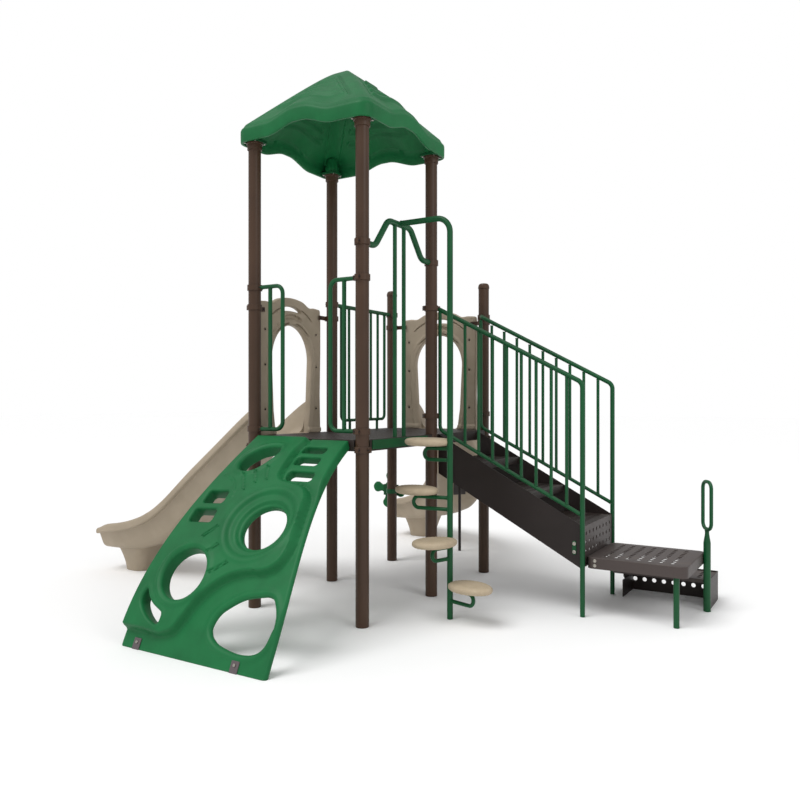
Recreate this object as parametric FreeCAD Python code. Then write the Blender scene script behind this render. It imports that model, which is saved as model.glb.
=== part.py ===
"""Play structure with a curved climbing wall, a roofed tower, two slides, a pod climber and
a transfer stair. Lengths are in millimetres. The layout is drawn with the front left post at
X 0, Y 0: +X runs along the climbing wall, +Y runs away from it and +Z is up. The last step
shifts every piece so that the origin is at the centre of the whole structure's base.
"""
import FreeCAD
import Part
import math
import os

V = FreeCAD.Vector
X_AXIS, Y_AXIS, Z_AXIS = V(1, 0, 0), V(0, 1, 0), V(0, 0, 1)

# ---- driving dimensions ---------------------------------------------------------------------
BAY = 928.0                 # post spacing, both ways
POST_R = 44.45
POST_WALL = 3.2
TALL_POST = 3300.0
SHORT_POST = 2428.0
CAP_LAP, CAP_HEIGHT = 3.55, 50.0    # how far a post's cap stands out past it
CAP_R = POST_R + CAP_LAP
FIT_GAP = 0.3               # clearance round a post under a collar

DECK_Z = 1219.0
DECK_DEPTH = 76.0
DECK_PLATE = 4.0
DECK_EDGE = 30.0            # deck overhang past the post centres
DECK_CLAMP_Z = DECK_Z - 67.0
SEAM = 0.2

COLLAR_WALL, COLLAR_HEIGHT = 8.05, 40.0
COLLAR_R = POST_R + COLLAR_WALL
EAR_LENGTH, EAR_WIDTH = 21.55, 26.0
EAR_REACH = POST_R + EAR_LENGTH
BOLT_R, BOLT_HEAD_R, BOLT_HEAD = 5.0, 9.0, 6.0

RAIL_R, RAIL_WALL = 16.7, 2.6
BAR_R, BAR_WALL = 11.5, 2.0
LOOP_R = 14.5               # grab rails and other hand loops

WALL_WIDTH_TOP, WALL_WIDTH_BOTTOM = 770.0, 1140.0
WALL_CHORD_TOP = V(0, -45, DECK_Z)
WALL_CHORD_BOTTOM = V(0, -1108, 0)
WALL_SAGITTA = 125.0        # how far the climbing wall bulges out of its chord
WALL_BACK, WALL_LOW, WALL_HIGH = -65.0, -35.0, 20.0   # offsets from the wall's middle arc
WALL_CORNER_R = 50.0

HOOD_WIDTH, HOOD_THICK = 740.0, 55.0
HOOD_SHOULDER_Z, HOOD_TOP_Z = DECK_Z + 991.0, DECK_Z + 1048.0
HOOD_DOOR_HALF, HOOD_DOOR_TOP = 235.0, DECK_Z + 831.0
HOOD_LIP = 26.0             # how far the hood's foot laps over the deck's skirt

CHUTE_HALF, CHUTE_FLANGE, CHUTE_FLOOR_HALF = 300.0, 70.0, 210.0
CHUTE_RIM, CHUTE_WALL, CHUTE_FLOOR = 55.0, 27.0, 28.0

TRANSFER_Z, TRANSFER_LENGTH = 406.0, 659.0
STAIR_FRONT_Y = BAY + 63.0
STAIR_BACK_Y = 2 * BAY - 191.0
STAIR_STEPS = 3             # treads between the landing and the transfer deck
STAIR_RUN = 375.0
STAIR_RISE = (DECK_Z - TRANSFER_Z) / (STAIR_STEPS + 1)
PLATE = 6.0
HANDRAIL_TOP_Z, HANDRAIL_END_Z = DECK_Z + 946.0, DECK_Z + 378.0
HANDRAIL_START_X = 42.0     # from the post centre to the top rail's end
HANDRAIL_FIRST_X = BAY + 41.0   # X at which the sloping rails reach their top heights
HANDRAIL_LOW_Z = DECK_Z + 39.0
HANDRAIL_BEND = 60.0
HANDRAIL_CLAMP_Z = DECK_Z + 138.0
STAIR_BARS = 9

TRANSFER_Y0, TRANSFER_Y1 = STAIR_FRONT_Y + 4.0, STAIR_BACK_Y - 40.0
STEP_Z, STEP_DEPTH, STEP_LENGTH = 203.0, 310.0, 690.0
LEG_R, SLEEVE_R = 19.0, 24.5

ROOF_EAVE, ROOF_OVERHANG = TALL_POST - 2.0, 98.0
ROOF_FASCIA, ROOF_TOP = 95.0, ROOF_EAVE + 587.0
ROOF_CORNER_R = 95.0
ROOF_ARCH = 45.0            # how far the eave rises at the middle of each side
ROOF_SKIN = 24.0
FLANGE_LIP, FLANGE_HEIGHT = 15.55, 12.0
FLANGE_R = POST_R + FLANGE_LIP
BRACKET_HALF, BRACKET_HEIGHT = FLANGE_R + 2.0, 20.0

POD_POLE_OUT, POD_POLE_R = 406.0, 20.0     # the pole stands out from the front right post's line
ARCH_R = 21.0
POD_LENGTH, POD_WIDTH, POD_THICK = 330.0, 240.0, 58.0

WHEEL_Z, WHEEL_R, WHEEL_THICK = 638.0, 172.0, 28.0
AXLE_R, AXLE_CLEARANCE = 10.0, 0.08
WHEEL_SHIFT, WHEEL_STANDOFF = 92.0, 22.5

# ---- derived places --------------------------------------------------------------------------
MID = BAY / 2
POD_POLE_X, POD_POLE_Y = BAY + POD_POLE_OUT, MID - 9.0
POSTS = {
    "post_front_left": (0, 0, TALL_POST), "post_front_right": (BAY, 0, TALL_POST),
    "post_middle_left": (0, BAY, TALL_POST), "post_middle_right": (BAY, BAY, TALL_POST),
    "post_rear_left": (0, 2 * BAY, SHORT_POST), "post_rear_right": (BAY, 2 * BAY, SHORT_POST),
}
CORNERS = [(x, y) for x, y, top in POSTS.values()]
ROOF_CORNERS = CORNERS[:4]
SIDE = BAY + DECK_EDGE      # X of the deck's right edge
REAR = 2 * BAY + DECK_EDGE  # Y of the landing's rear edge

nodes = {}


# ---- simple solids ---------------------------------------------------------------------------
def block(x0, x1, y0, y1, z0, z1):
    return Part.makeBox(x1 - x0, y1 - y0, z1 - z0, V(x0, y0, z0))


def rod(start, end, radius):
    return Part.makeCylinder(radius, (end - start).Length, start, end - start)


def disc_face(centre, normal, radius, wall=0):
    """A round face, or an annular one where a wall is given."""
    face = Part.Face(Part.Wire(Part.makeCircle(radius, centre, normal)))
    if wall:
        hole = Part.Face(Part.Wire(Part.makeCircle(radius - wall, centre, normal)))
        face = face.cut(hole).Faces[0]
    return face


def tube(points, radius, wall=0, bend=0):
    """Round tube along straight runs with a tangent arc at each corner: one solid a stretch."""
    points = [V(*p) for p in points]
    trims = [0.0]
    for a, b, c in zip(points, points[1:], points[2:]):
        trims.append(bend * math.tan((b - a).getAngle(c - b) / 2))
    trims.append(0.0)
    pieces = []
    for i in range(len(points) - 1):
        way = (points[i + 1] - points[i]).normalize()
        start = points[i] + way * trims[i]
        length = (points[i + 1] - points[i]).Length - trims[i] - trims[i + 1]
        if length > 0.01:
            pieces.append(disc_face(start, way, radius, wall).extrude(way * length))
    for i in range(1, len(points) - 1):
        way_in = (points[i] - points[i - 1]).normalize()
        way_out = (points[i + 1] - points[i]).normalize()
        normal = way_in.cross(way_out).normalize()
        start = points[i] - way_in * trims[i]
        centre = start + normal.cross(way_in) * bend
        turn = math.degrees(way_in.getAngle(way_out))
        pieces.append(disc_face(start, way_in, radius, wall).revolve(centre, normal, turn))
    return pieces


def prism(points, direction):
    """Flat closed outline pushed along a direction."""
    wire = Part.makePolygon([V(*p) for p in points] + [V(*points[0])])
    return Part.Face(wire).extrude(direction)


def spline_prism(points, direction):
    """Smooth closed outline through the points, pushed along a direction."""
    curve = Part.BSplineCurve()
    curve.interpolate([V(*p) for p in points], PeriodicFlag=True)
    return Part.Face(Part.Wire(curve.toShape())).extrude(direction)


def rounded_rectangle(x0, x1, y0, y1, z, radius):
    """Wire of a flat rectangle with round corners at height z."""
    edges = []
    corners = [(x1 - radius, y0 + radius, -90), (x1 - radius, y1 - radius, 0),
               (x0 + radius, y1 - radius, 90), (x0 + radius, y0 + radius, 180)]
    arcs = []
    for cx, cy, start in corners:
        arcs.append([V(cx + radius * math.cos(math.radians(start + t)),
                       cy + radius * math.sin(math.radians(start + t)), z) for t in (0, 45, 90)])
    for arc, following in zip(arcs, arcs[1:] + arcs[:1]):
        edges.append(Part.Arc(*arc).toShape())
        edges.append(Part.LineSegment(arc[2], following[0]).toShape())
    return Part.Wire(edges)


def cut_all(pieces, tools):
    """Each piece with all the tools taken off; only the largest part of it stays."""
    kept = []
    for piece in pieces:
        result = piece.cut(tools)
        kept.append(max(result.Solids, key=lambda solid: solid.Volume))
    return kept


def turned(shape, angle, centre=V(0, 0, 0), axis=Z_AXIS):
    copy = shape.copy()
    copy.rotate(centre, axis, angle)
    return copy


def moved(shape, x, y, z):
    copy = shape.copy()
    copy.translate(V(x, y, z))
    return copy


# ---- posts, caps, collars --------------------------------------------------------------------
def make_posts():
    for name, (x, y, top) in POSTS.items():
        foot = V(x, y, 0)
        nodes[name] = [disc_face(foot, Z_AXIS, POST_R, POST_WALL).extrude(V(0, 0, top))]
    caps = []
    for x, y in CORNERS[4:]:
        drum = Part.makeCylinder(CAP_R, CAP_HEIGHT * 0.5, V(x, y, SHORT_POST))
        dome = Part.makeSphere(CAP_R, V(0, 0, 0), Z_AXIS, 0, 90, 360)
        squash = FreeCAD.Matrix()
        squash.scale(1, 1, CAP_HEIGHT * 0.5 / CAP_R)
        dome = dome.transformGeometry(squash)
        caps.append(drum.fuse(moved(dome, x, y, SHORT_POST + CAP_HEIGHT * 0.5)).removeSplitter())
    nodes["post_caps"] = caps


def collar(x, y, z, angles, reach=EAR_REACH):
    """Two-bolt clamp collar round a post, with an ear towards each angle."""
    ring = Part.makeCylinder(COLLAR_R, COLLAR_HEIGHT, V(x, y, z - COLLAR_HEIGHT / 2))
    for angle in angles:
        ear = block(0, reach, -EAR_WIDTH / 2, EAR_WIDTH / 2, -COLLAR_HEIGHT * 0.42, COLLAR_HEIGHT * 0.42)
        ring = ring.fuse(moved(turned(ear, angle), x, y, z))
    bore = Part.makeCylinder(POST_R + FIT_GAP, COLLAR_HEIGHT * 2, V(x, y, z - COLLAR_HEIGHT))
    return ring.cut(bore).removeSplitter()


def collar_bolts(x, y, z, angles):
    """A button head and a nut on each side of every ear."""
    bolts = []
    for angle in angles:
        for side in (1, -1):
            start = V(EAR_REACH - 7, side * EAR_WIDTH / 2, 0)
            head = Part.makeCylinder(BOLT_HEAD_R * 0.7, BOLT_HEAD, start, V(0, side, 0))
            bolts.append(moved(turned(head, angle), x, y, z))
    return bolts


def make_deck_clamps():
    """Collars that carry the decks, with their ears turned out past the deck's corners."""
    z = DECK_CLAMP_Z
    clamps, bolts = [], []
    outward = {(0, 0): [180, -90], (BAY, 0): [0, -90], (0, BAY): [180], (BAY, BAY): [0],
               (0, 2 * BAY): [180, 90], (BAY, 2 * BAY): [0, 90]}
    for (x, y), angles in outward.items():
        clamps.append(collar(x, y, z, angles))
        bolts += collar_bolts(x, y, z, angles)
    nodes["deck_clamps"] = clamps
    nodes["deck_clamp_bolts"] = bolts


# ---- decks -----------------------------------------------------------------------------------
def deck(x0, x1, y0, y1, corners):
    """Punched deck: a top plate with a deep skirt all round, notched round each post."""
    def outline(inset):
        face = Part.Face(rounded_rectangle(x0 + inset, x1 - inset, y0 + inset, y1 - inset, 0, 8))
        for x, y in corners:
            notch = COLLAR_R + FIT_GAP + inset
            face = face.cut(Part.Face(Part.Wire(Part.makeCircle(notch, V(x, y, 0)))))
            edge_x = x0 if x < (x0 + x1) / 2 else x1
            edge_y = y0 if y < (y0 + y1) / 2 else y1
            spots = [V(x, edge_y, 0), V(edge_x, edge_y, 0), V(edge_x, y, 0), V(x, y, 0)]
            face = face.cut(Part.Face(Part.makePolygon(spots + [spots[0]])))
        return max(face.Faces, key=lambda part: part.Area)
    bottom = DECK_Z - DECK_DEPTH
    body = moved(outline(0).extrude(V(0, 0, DECK_DEPTH)), 0, 0, bottom)
    hollow = moved(outline(DECK_PLATE).extrude(V(0, 0, DECK_DEPTH - DECK_PLATE)), 0, 0, bottom)
    return body.cut(hollow)


def make_decks():
    nodes["tower_deck"] = [deck(-DECK_EDGE, SIDE, -DECK_EDGE, BAY - SEAM / 2, ROOF_CORNERS)]
    nodes["landing_deck"] = [deck(-DECK_EDGE, SIDE, BAY + SEAM / 2, REAR, CORNERS[2:])]
    ribs = []
    for y0 in (0, BAY):
        for share in (0.33, 0.67):
            y = y0 + BAY * share
            ribs.append(block(-DECK_EDGE + DECK_PLATE, SIDE - DECK_PLATE, y - 20, y + 20,
                              DECK_Z - DECK_PLATE - 40, DECK_Z - DECK_PLATE))
    nodes["deck_ribs"] = ribs


# ---- climbing wall ---------------------------------------------------------------------------
WALL_SPAN = (WALL_CHORD_BOTTOM - WALL_CHORD_TOP).Length
WALL_R = (WALL_SPAN ** 2 / 4 + WALL_SAGITTA ** 2) / (2 * WALL_SAGITTA)
WALL_DOWN = (WALL_CHORD_BOTTOM - WALL_CHORD_TOP).normalize()
WALL_OUT = V(0, WALL_DOWN.z, -WALL_DOWN.y)      # square to the chord, up and forward
WALL_HALF_ANGLE = math.asin(WALL_SPAN / 2 / WALL_R)
WALL_LENGTH = 2 * WALL_HALF_ANGLE * WALL_R
WALL_CENTRE = (WALL_CHORD_TOP + WALL_CHORD_BOTTOM) * 0.5 - WALL_OUT * (WALL_R - WALL_SAGITTA)


def wall_point(x, s, off=0.0):
    """Point on the wall: x across from its centre line, s down the arc, off outwards."""
    angle = s / WALL_R - WALL_HALF_ANGLE
    way = WALL_OUT * math.cos(angle) + WALL_DOWN * math.sin(angle)
    point = WALL_CENTRE + way * (WALL_R + off)
    return V(MID + x, point.y, point.z)


def wall_normal(s):
    angle = s / WALL_R - WALL_HALF_ANGLE
    return WALL_OUT * math.cos(angle) + WALL_DOWN * math.sin(angle)


def wall_half_width(s):
    share = min(max(s / 1500.0, 0.0), 1.0)
    ease = share * share * (3 - 2 * share)
    return (WALL_WIDTH_TOP + (WALL_WIDTH_BOTTOM - WALL_WIDTH_TOP) * ease) / 2


def wall_slab(low, high):
    """Curved slab between two offsets from the wall's arc, as wide as the widest part."""
    def arc(off):
        angles = (0, WALL_LENGTH / 2, WALL_LENGTH)
        return [wall_point(-WALL_WIDTH_BOTTOM / 2 - 20, s, off) for s in angles]
    inner, outer = arc(low), arc(high)
    wire = Part.Wire([Part.Arc(*inner).toShape(), Part.LineSegment(inner[2], outer[2]).toShape(),
                      Part.Arc(*outer[::-1]).toShape(), Part.LineSegment(outer[0], inner[0]).toShape()])
    return Part.Face(wire).extrude(V(WALL_WIDTH_BOTTOM + 40, 0, 0))


def wall_cutter(points, smooth, depth_from=-160, depth_to=160):
    """Prism square to the wall at the outline's middle, from an outline in wall places."""
    middle = sum(s for x, s in points) / len(points)
    normal = wall_normal(middle)
    across, down = X_AXIS, normal.cross(X_AXIS) * -1
    if down.z > 0:
        down = down * -1
    base = wall_point(0, middle, depth_from)
    flat = [base + across * x + down * (s - middle) for x, s in points]
    make = spline_prism if smooth else prism
    return make([(p.x, p.y, p.z) for p in flat], normal * (depth_to - depth_from))


def ring(x, s, radius, count=24):
    turn = 2 * math.pi / count
    return [(x + radius * math.cos(i * turn), s + radius * math.sin(i * turn)) for i in range(count)]


def slot(x0, x1, s0, s1, tilt=0.0):
    """Round-ended slot, its upper edge rising by tilt to the right."""
    r = (s1 - s0) / 2
    mid = (s0 + s1) / 2
    right = [(x1 - r + r * math.cos(a), mid - tilt + r * math.sin(a))
             for a in (math.radians(t) for t in range(-90, 91, 30))]
    left = [(x0 + r + r * math.cos(a), mid + r * math.sin(a))
            for a in (math.radians(t) for t in range(90, 271, 30))]
    return right + left


# Hole outlines: x from the left edge's datum (0), s down the arc. DATUM moves them to the centre.
DATUM = 464.0
DRAWN_LENGTH = 1643.02      # the wall length that the outlines were drawn for
THUMB_HOLE = [(158, 280), (175, 225), (225, 165), (290, 135), (370, 130), (395, 160), (396, 215),
              (350, 310), (300, 360), (240, 375), (185, 360), (160, 320)]
LENS_HOLE = [(-5, 1285), (-15, 1340), (20, 1390), (80, 1435), (150, 1465), (180, 1462), (188, 1430),
             (180, 1400), (150, 1385), (90, 1360), (40, 1325), (10, 1290)]
EGG_HOLE = [(552, 1410), (571, 1347), (615, 1297), (715, 1229), (840, 1195), (890, 1192),
            (928, 1210), (971, 1285), (984, 1350), (980, 1372), (959, 1460), (903, 1510),
            (790, 1525), (653, 1504), (590, 1475), (562, 1445)]
PLATEAU = [(-130, 1535), (200, 1535), (300, 1490), (350, 1400), (400, 1300), (450, 1230),
           (520, 1160), (600, 1110), (700, 1080), (800, 1070), (880, 1040), (930, 980), (940, 900),
           (930, 800), (915, 700), (900, 600), (880, 520), (840, 480), (780, 455), (700, 445),
           (600, 430), (550, 400), (530, 350), (520, 250), (510, 150), (480, -20), (-130, -20)]
RUNG_ZONE = [(525, -20), (545, 150), (560, 260), (575, 350), (600, 385), (700, 415), (800, 425),
             (880, 445), (960, 480), (1000, 480), (1000, -20)]
DISH = (612, 762, 232, 20)          # x, s, radius, depth of the outer step round the ring hole
DISH_INNER = (640, 780, 176, 20)
RING_HOLE = (645, 783, 153)
ROUND_HOLE = (232, 1150, 162)
RUNG_SLOTS = [(552, 742, 91, 154), (565, 755, 197, 272), (584, 790, 335, 410)]
SIDE_SLOTS = [(75, 237, 569, 666), (52, 234, 716, 812)]
SLOT_TILT = 12.0


def centred(points):
    """An outline about the wall's centre line, moved down in step with the wall's length."""
    middle = sum(s for x, s in points) / len(points)
    slide = (WALL_LENGTH - DRAWN_LENGTH) * middle / DRAWN_LENGTH
    return [(x - DATUM, s + slide) for x, s in points]


def make_climbing_wall():
    edge_s = [i * WALL_LENGTH / 8 for i in range(9)]
    right = [(wall_half_width(s), s) for s in edge_s]
    corner_s = WALL_LENGTH - WALL_CORNER_R
    right[-1] = (wall_half_width(corner_s), corner_s)
    right.append((WALL_WIDTH_BOTTOM / 2 - WALL_CORNER_R * 0.3, WALL_LENGTH - WALL_CORNER_R * 0.3))
    right.append((WALL_WIDTH_BOTTOM / 2 - WALL_CORNER_R, WALL_LENGTH))
    left = [(-x, s) for x, s in reversed(right)]
    chord_points = []
    for x, s in right + left:
        angle = s / WALL_R - WALL_HALF_ANGLE
        stretch = 1.0 if 0 < s < WALL_LENGTH else 1.2
        t = WALL_R * math.sin(angle) * stretch
        foot = (WALL_CHORD_TOP + WALL_CHORD_BOTTOM) * 0.5 + WALL_DOWN * t - WALL_OUT * 200
        chord_points.append((MID + x, foot.y, foot.z))
    outline = prism(chord_points, WALL_OUT * 600)
    raised = wall_slab(WALL_LOW, WALL_HIGH)
    plateau = raised.common(wall_cutter(centred(PLATEAU), False, -400, 400))
    rungs = raised.common(wall_cutter(centred(RUNG_ZONE), False, -400, 400))
    panel = wall_slab(WALL_BACK, WALL_LOW).fuse([plateau, rungs]).common(outline)
    depth = WALL_HIGH
    for x, s, radius, step in (DISH, DISH_INNER):
        depth -= step
        panel = panel.cut(wall_cutter(centred(ring(x, s, radius)), True, depth, 160))
    holes = [(ring(*RING_HOLE), True), (ring(*ROUND_HOLE), True), (THUMB_HOLE, True),
             (LENS_HOLE, True), (EGG_HOLE, True)]
    holes += [(slot(*span), False) for span in RUNG_SLOTS]
    holes += [(slot(*span, SLOT_TILT), False) for span in SIDE_SLOTS]
    for points, smooth in holes:
        panel = panel.cut(wall_cutter(centred(points), smooth))
    ground = block(-2000, 3000, -3000, 3000, -500, 0)
    behind = block(-2000, 3000, -DECK_EDGE - HANGER, 3000, 0, 3000)
    panel = panel.cut([ground, behind])
    nodes["climbing_wall_panel"] = [max(panel.Solids, key=lambda solid: solid.Volume)]


HANGER = 5.0
HANGER_HEIGHT = 60.0
FOOT_PLATE, FOOT_WIDTH = 6.0, 56.0
FOOT_UP, FOOT_DOWN = 42.0, 70.0


def make_wall_fixings():
    """Steel strip that hangs the panel on the deck, and two foot plates at its lower edge."""
    strip = block(MID - 330, MID + 330, -DECK_EDGE - HANGER, -DECK_EDGE,
                  DECK_Z - HANGER_HEIGHT - 12, DECK_Z - 12)
    nodes["climbing_wall_hanger"] = [strip]
    feet, bolts = [], []
    for x in (27 - DATUM, 808 - DATUM):
        s = WALL_LENGTH - 38
        normal, here = wall_normal(s), wall_point(x, s, WALL_LOW)
        down = X_AXIS.cross(normal)
        if down.z > 0:
            down = down * -1
        half = V(FOOT_WIDTH / 2, 0, 0)
        corners = [here - down * FOOT_UP - half, here - down * FOOT_UP + half,
                   here + down * FOOT_DOWN + half, here + down * FOOT_DOWN - half]
        tab = prism([(p.x, p.y, p.z) for p in corners], normal * FOOT_PLATE)
        foot = tab.cut(block(-500, 2000, -3000, 0, -300, 0)).cut(nodes["climbing_wall_panel"][0])
        feet.append(max(foot.Solids, key=lambda solid: solid.Volume))
        head = here + normal * FOOT_PLATE - down * 18
        bolts.append(Part.makeCylinder(BOLT_HEAD_R, BOLT_HEAD, head, normal))
    for x in (-260, 0, 260):
        centre = V(MID + x, -DECK_EDGE - HANGER, DECK_Z - 12 - HANGER_HEIGHT / 2)
        bolts.append(Part.makeCylinder(BOLT_R, HANGER + DECK_PLATE + 8, centre, Y_AXIS))
    strip_holes = [b for b in bolts[2:]]
    nodes["climbing_wall_hanger"] = cut_all([strip], strip_holes)
    nodes["tower_deck"] = cut_all(nodes["tower_deck"], strip_holes)
    nodes["climbing_wall_feet"] = feet
    nodes["climbing_wall_bolts"] = bolts


# ---- grab rails and clamps for every rail ----------------------------------------------------
GRAB_LOW, GRAB_HIGH = DECK_Z + 54.0, DECK_Z + 1059.0
GRAB_OUTER, GRAB_INNER = 258.0, 145.0
GRAB_BEND = 56.0
rail_collars, rail_bolts = [], []


def add_collar(x, y, z, angles, clear=()):
    piece = collar(x, y, z, angles)
    if clear:
        piece = piece.cut(list(clear))
        piece = max(piece.Solids, key=lambda solid: solid.Volume)
    rail_collars.append(piece)
    for bolt in collar_bolts(x, y, z, angles):
        outside = bolt.cut(list(clear)).Solids if clear else [bolt]
        if outside:         # a head that would lie wholly inside the rail is left out
            rail_bolts.append(max(outside, key=lambda solid: solid.Volume))


def make_grab_rails():
    """Closed hand loops beside the top of the wall, each held by two collars on its post."""
    for name, post_x, way in (("grab_rail_left", 0, 1), ("grab_rail_right", BAY, -1)):
        inner, outer = post_x + way * GRAB_INNER, post_x + way * GRAB_OUTER
        start = (post_x + way * EAR_REACH, 0)
        loop = tube([(*start, GRAB_HIGH), (outer, 0, GRAB_HIGH), (outer, 0, GRAB_LOW),
                     (*start, GRAB_LOW)], LOOP_R, RAIL_WALL, GRAB_BEND)
        inside = tube([(inner, 0, GRAB_LOW), (inner, 0, GRAB_HIGH)], LOOP_R, RAIL_WALL)
        clear = [rod(V(*start, z), V(outer - way * GRAB_BEND, 0, z), LOOP_R)
                 for z in (GRAB_LOW, GRAB_HIGH)]
        nodes[name] = loop + cut_all(inside, clear)
        angle = 0 if way > 0 else 180
        for z in (GRAB_LOW, GRAB_HIGH):
            add_collar(post_x, 0, z, [angle, angle + 90], clear)


# ---- slide hoods -----------------------------------------------------------------------------
def hood(thick):
    """Moulded entrance panel, drawn in its own plane: u across, z up, thickness along +V."""
    half = HOOD_WIDTH / 2
    top = HOOD_SHOULDER_Z
    outline = [(-half, DECK_Z - HOOD_LIP), (-half + 8, DECK_Z + 300), (-half, DECK_Z + 640), (-half, top - 90),
               (-half + 25, top - 20), (-half + 85, top), (-half + 150, top - 8), (-150, HOOD_TOP_Z - 22),
               (0, HOOD_TOP_Z), (150, HOOD_TOP_Z - 22), (half - 150, top - 8), (half - 85, top),
               (half - 25, top - 20), (half, top - 90), (half, DECK_Z + 640), (half - 8, DECK_Z + 300),
               (half, DECK_Z - HOOD_LIP)]
    panel = prism([(u, 0, z) for u, z in outline], V(0, thick, 0))
    door = HOOD_DOOR_HALF
    middle = (DECK_Z + HOOD_DOOR_TOP) / 2
    opening = [(-door + 45, DECK_Z - 60), (-door + 20, DECK_Z + 180), (-door, middle),
               (-door + 8, middle + 180)]
    steps = 8
    for i in range(steps + 1):
        angle = math.pi * (1 - i / steps)
        rise = HOOD_DOOR_TOP - (middle + 190)
        opening.append(((door - 12) * math.cos(angle), middle + 190 + rise * math.sin(angle)))
    opening += [(door - 8, middle + 180), (door, middle), (door - 20, DECK_Z + 180),
                (door - 45, DECK_Z - 60)]
    panel = panel.cut(prism([(u, -10, z) for u, z in opening], V(0, thick + 20, 0)))
    crescent = []
    for i in range(9):
        u = -120 + 30 * i
        crescent.append((u, HOOD_DOOR_TOP + 150 - u * u / 420))
    for i in range(1, 8):
        u = 120 - 30 * i
        crescent.append((u, HOOD_DOOR_TOP + 110 - u * u / 1700))
    return panel.cut(prism([(u, -10, z) for u, z in crescent], V(0, thick + 20, 0)))


HOOD_CLAMP_Z = DECK_Z + 920.0


def make_hoods():
    """Both hoods stand against the deck's skirt, each held by two collars with flat arms."""
    flat = hood(HOOD_THICK)
    rear = moved(flat, MID, REAR + SEAM, 0)
    left = moved(turned(flat, 90), -DECK_EDGE - SEAM, MID, 0)
    nodes["hood_left"], nodes["hood_rear"] = [left], [rear]
    arms, bolts = [], []
    half = HOOD_WIDTH / 2
    z = HOOD_CLAMP_Z
    lap = MID - half + 45
    flat_arm = block(0, lap, DECK_EDGE + SEAM - PLATE, DECK_EDGE + SEAM, -17, 17)
    places = [(0, 2 * BAY, 0, False, rear), (BAY, 2 * BAY, 0, True, rear),
              (0, BAY, 90, True, left), (0, 0, 90, False, left)]
    for x, y, angle, mirrored, panel in places:
        arm = flat_arm.mirror(V(0, 0, 0), X_AXIS) if mirrored else flat_arm
        arm = moved(turned(arm, angle), x, y, z)
        post = Part.makeCylinder(POST_R + FIT_GAP, COLLAR_HEIGHT * 2, V(x, y, z - COLLAR_HEIGHT))
        arms.append(arm.cut(post).fuse(collar(x, y, z, [angle + 90])).cut(panel).removeSplitter())
        way = -1 if mirrored else 1
        head = Part.makeCylinder(BOLT_HEAD_R, BOLT_HEAD, V(way * (lap - 20), DECK_EDGE + SEAM - PLATE, 0),
                                 Y_AXIS * -1)
        bolts.append(moved(turned(head, angle), x, y, z))
    nodes["hood_clamps"] = [max(arm.Solids, key=lambda solid: solid.Volume) for arm in arms]
    nodes["hood_bolts"] = bolts


# ---- slides ----------------------------------------------------------------------------------
def chute(stations):
    """Open trough through stations of (x, y, heading, bed height, rim height over the bed)."""
    wires = []
    for x, y, heading, bed, rim in stations:
        side = V(math.sin(heading), -math.cos(heading), 0)
        flange = min(CHUTE_FLANGE, rim * 0.4)
        neck = CHUTE_HALF - CHUTE_RIM + CHUTE_WALL - 10
        outer = [(CHUTE_HALF, rim), (CHUTE_HALF, rim - flange), (neck, rim - flange),
                 (CHUTE_FLOOR_HALF, -CHUTE_FLOOR)]
        inner = [(CHUTE_FLOOR_HALF - CHUTE_WALL, 0), (CHUTE_HALF - CHUTE_RIM, rim)]
        loop = outer + [(-u, w) for u, w in reversed(outer)]
        loop += [(-u, w) for u, w in reversed(inner)] + inner
        points = [V(x, y, bed) + side * u + Z_AXIS * w for u, w in loop]
        wires.append(Part.makePolygon(points + [points[0]]))
    return Part.makeLoft(wires, True, True)


SLIDE_EXIT_Z = 250.0        # height of both slides' beds at their lower end
# (distance from the hood, share of the drop still to come, rim height over the bed)
STRAIGHT_BED = [(0, 1, 265), (120, 0.96, 225), (240, 0.865, 230), (507, 0.632, 248),
                (771, 0.405, 265), (1047, 0.162, 270), (1190, 0.072, 258), (1337, 0.033, 224),
                (1487, 0.012, 197), (1641, 0.004, 172), (1783, 0, 158), (1875, 0, 110)]
CURVED_BED = [(0, 1, 265), (90, 0.96, 230), (220, 0.84, 240), (400, 0.66, 255), (560, 0.501, 270),
              (720, 0.356, 280), (880, 0.232, 285), (1050, 0.134, 275), (1250, 0.064, 245),
              (1450, 0.026, 205), (1650, 0.007, 175), (1800, 0.001, 158), (1905, 0, 110)]
CURVE_STRAIGHT, CURVE_R = 99.0, 1150.0
FOOT_TOP_HALF, FOOT_BOTTOM_HALF = 195.0, 140.0
FOOT_SETBACK, FOOT_SPAN = 75.0, 370.0


def curve_place(distance, x0, y0):
    """Plan place and heading after a distance: straight ahead, a left quarter turn, straight."""
    if distance <= CURVE_STRAIGHT:
        return x0, y0 + distance, math.pi / 2
    turn = (distance - CURVE_STRAIGHT) / CURVE_R
    if turn <= math.pi / 2:
        return (x0 - CURVE_R * (1 - math.cos(turn)), y0 + CURVE_STRAIGHT + CURVE_R * math.sin(turn),
                math.pi / 2 + turn)
    past = distance - CURVE_STRAIGHT - CURVE_R * math.pi / 2
    return x0 - CURVE_R - past, y0 + CURVE_STRAIGHT + CURVE_R, math.pi


def bed_height(share):
    return SLIDE_EXIT_Z + (DECK_Z - SLIDE_EXIT_Z) * share


def slide_foot(x0, x1, y, top):
    """Hollow-looking moulded foot that tapers to the ground, under a slide's exit."""
    def section(z, half_y, inset):
        return rounded_rectangle(x0 + inset, x1 - inset, y - half_y, y + half_y, z, 40)
    return Part.makeLoft([section(0, FOOT_BOTTOM_HALF, 60), section(top * 0.5, FOOT_TOP_HALF - 20, 25),
                          section(top, FOOT_TOP_HALF, 0)], True, True)


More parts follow.
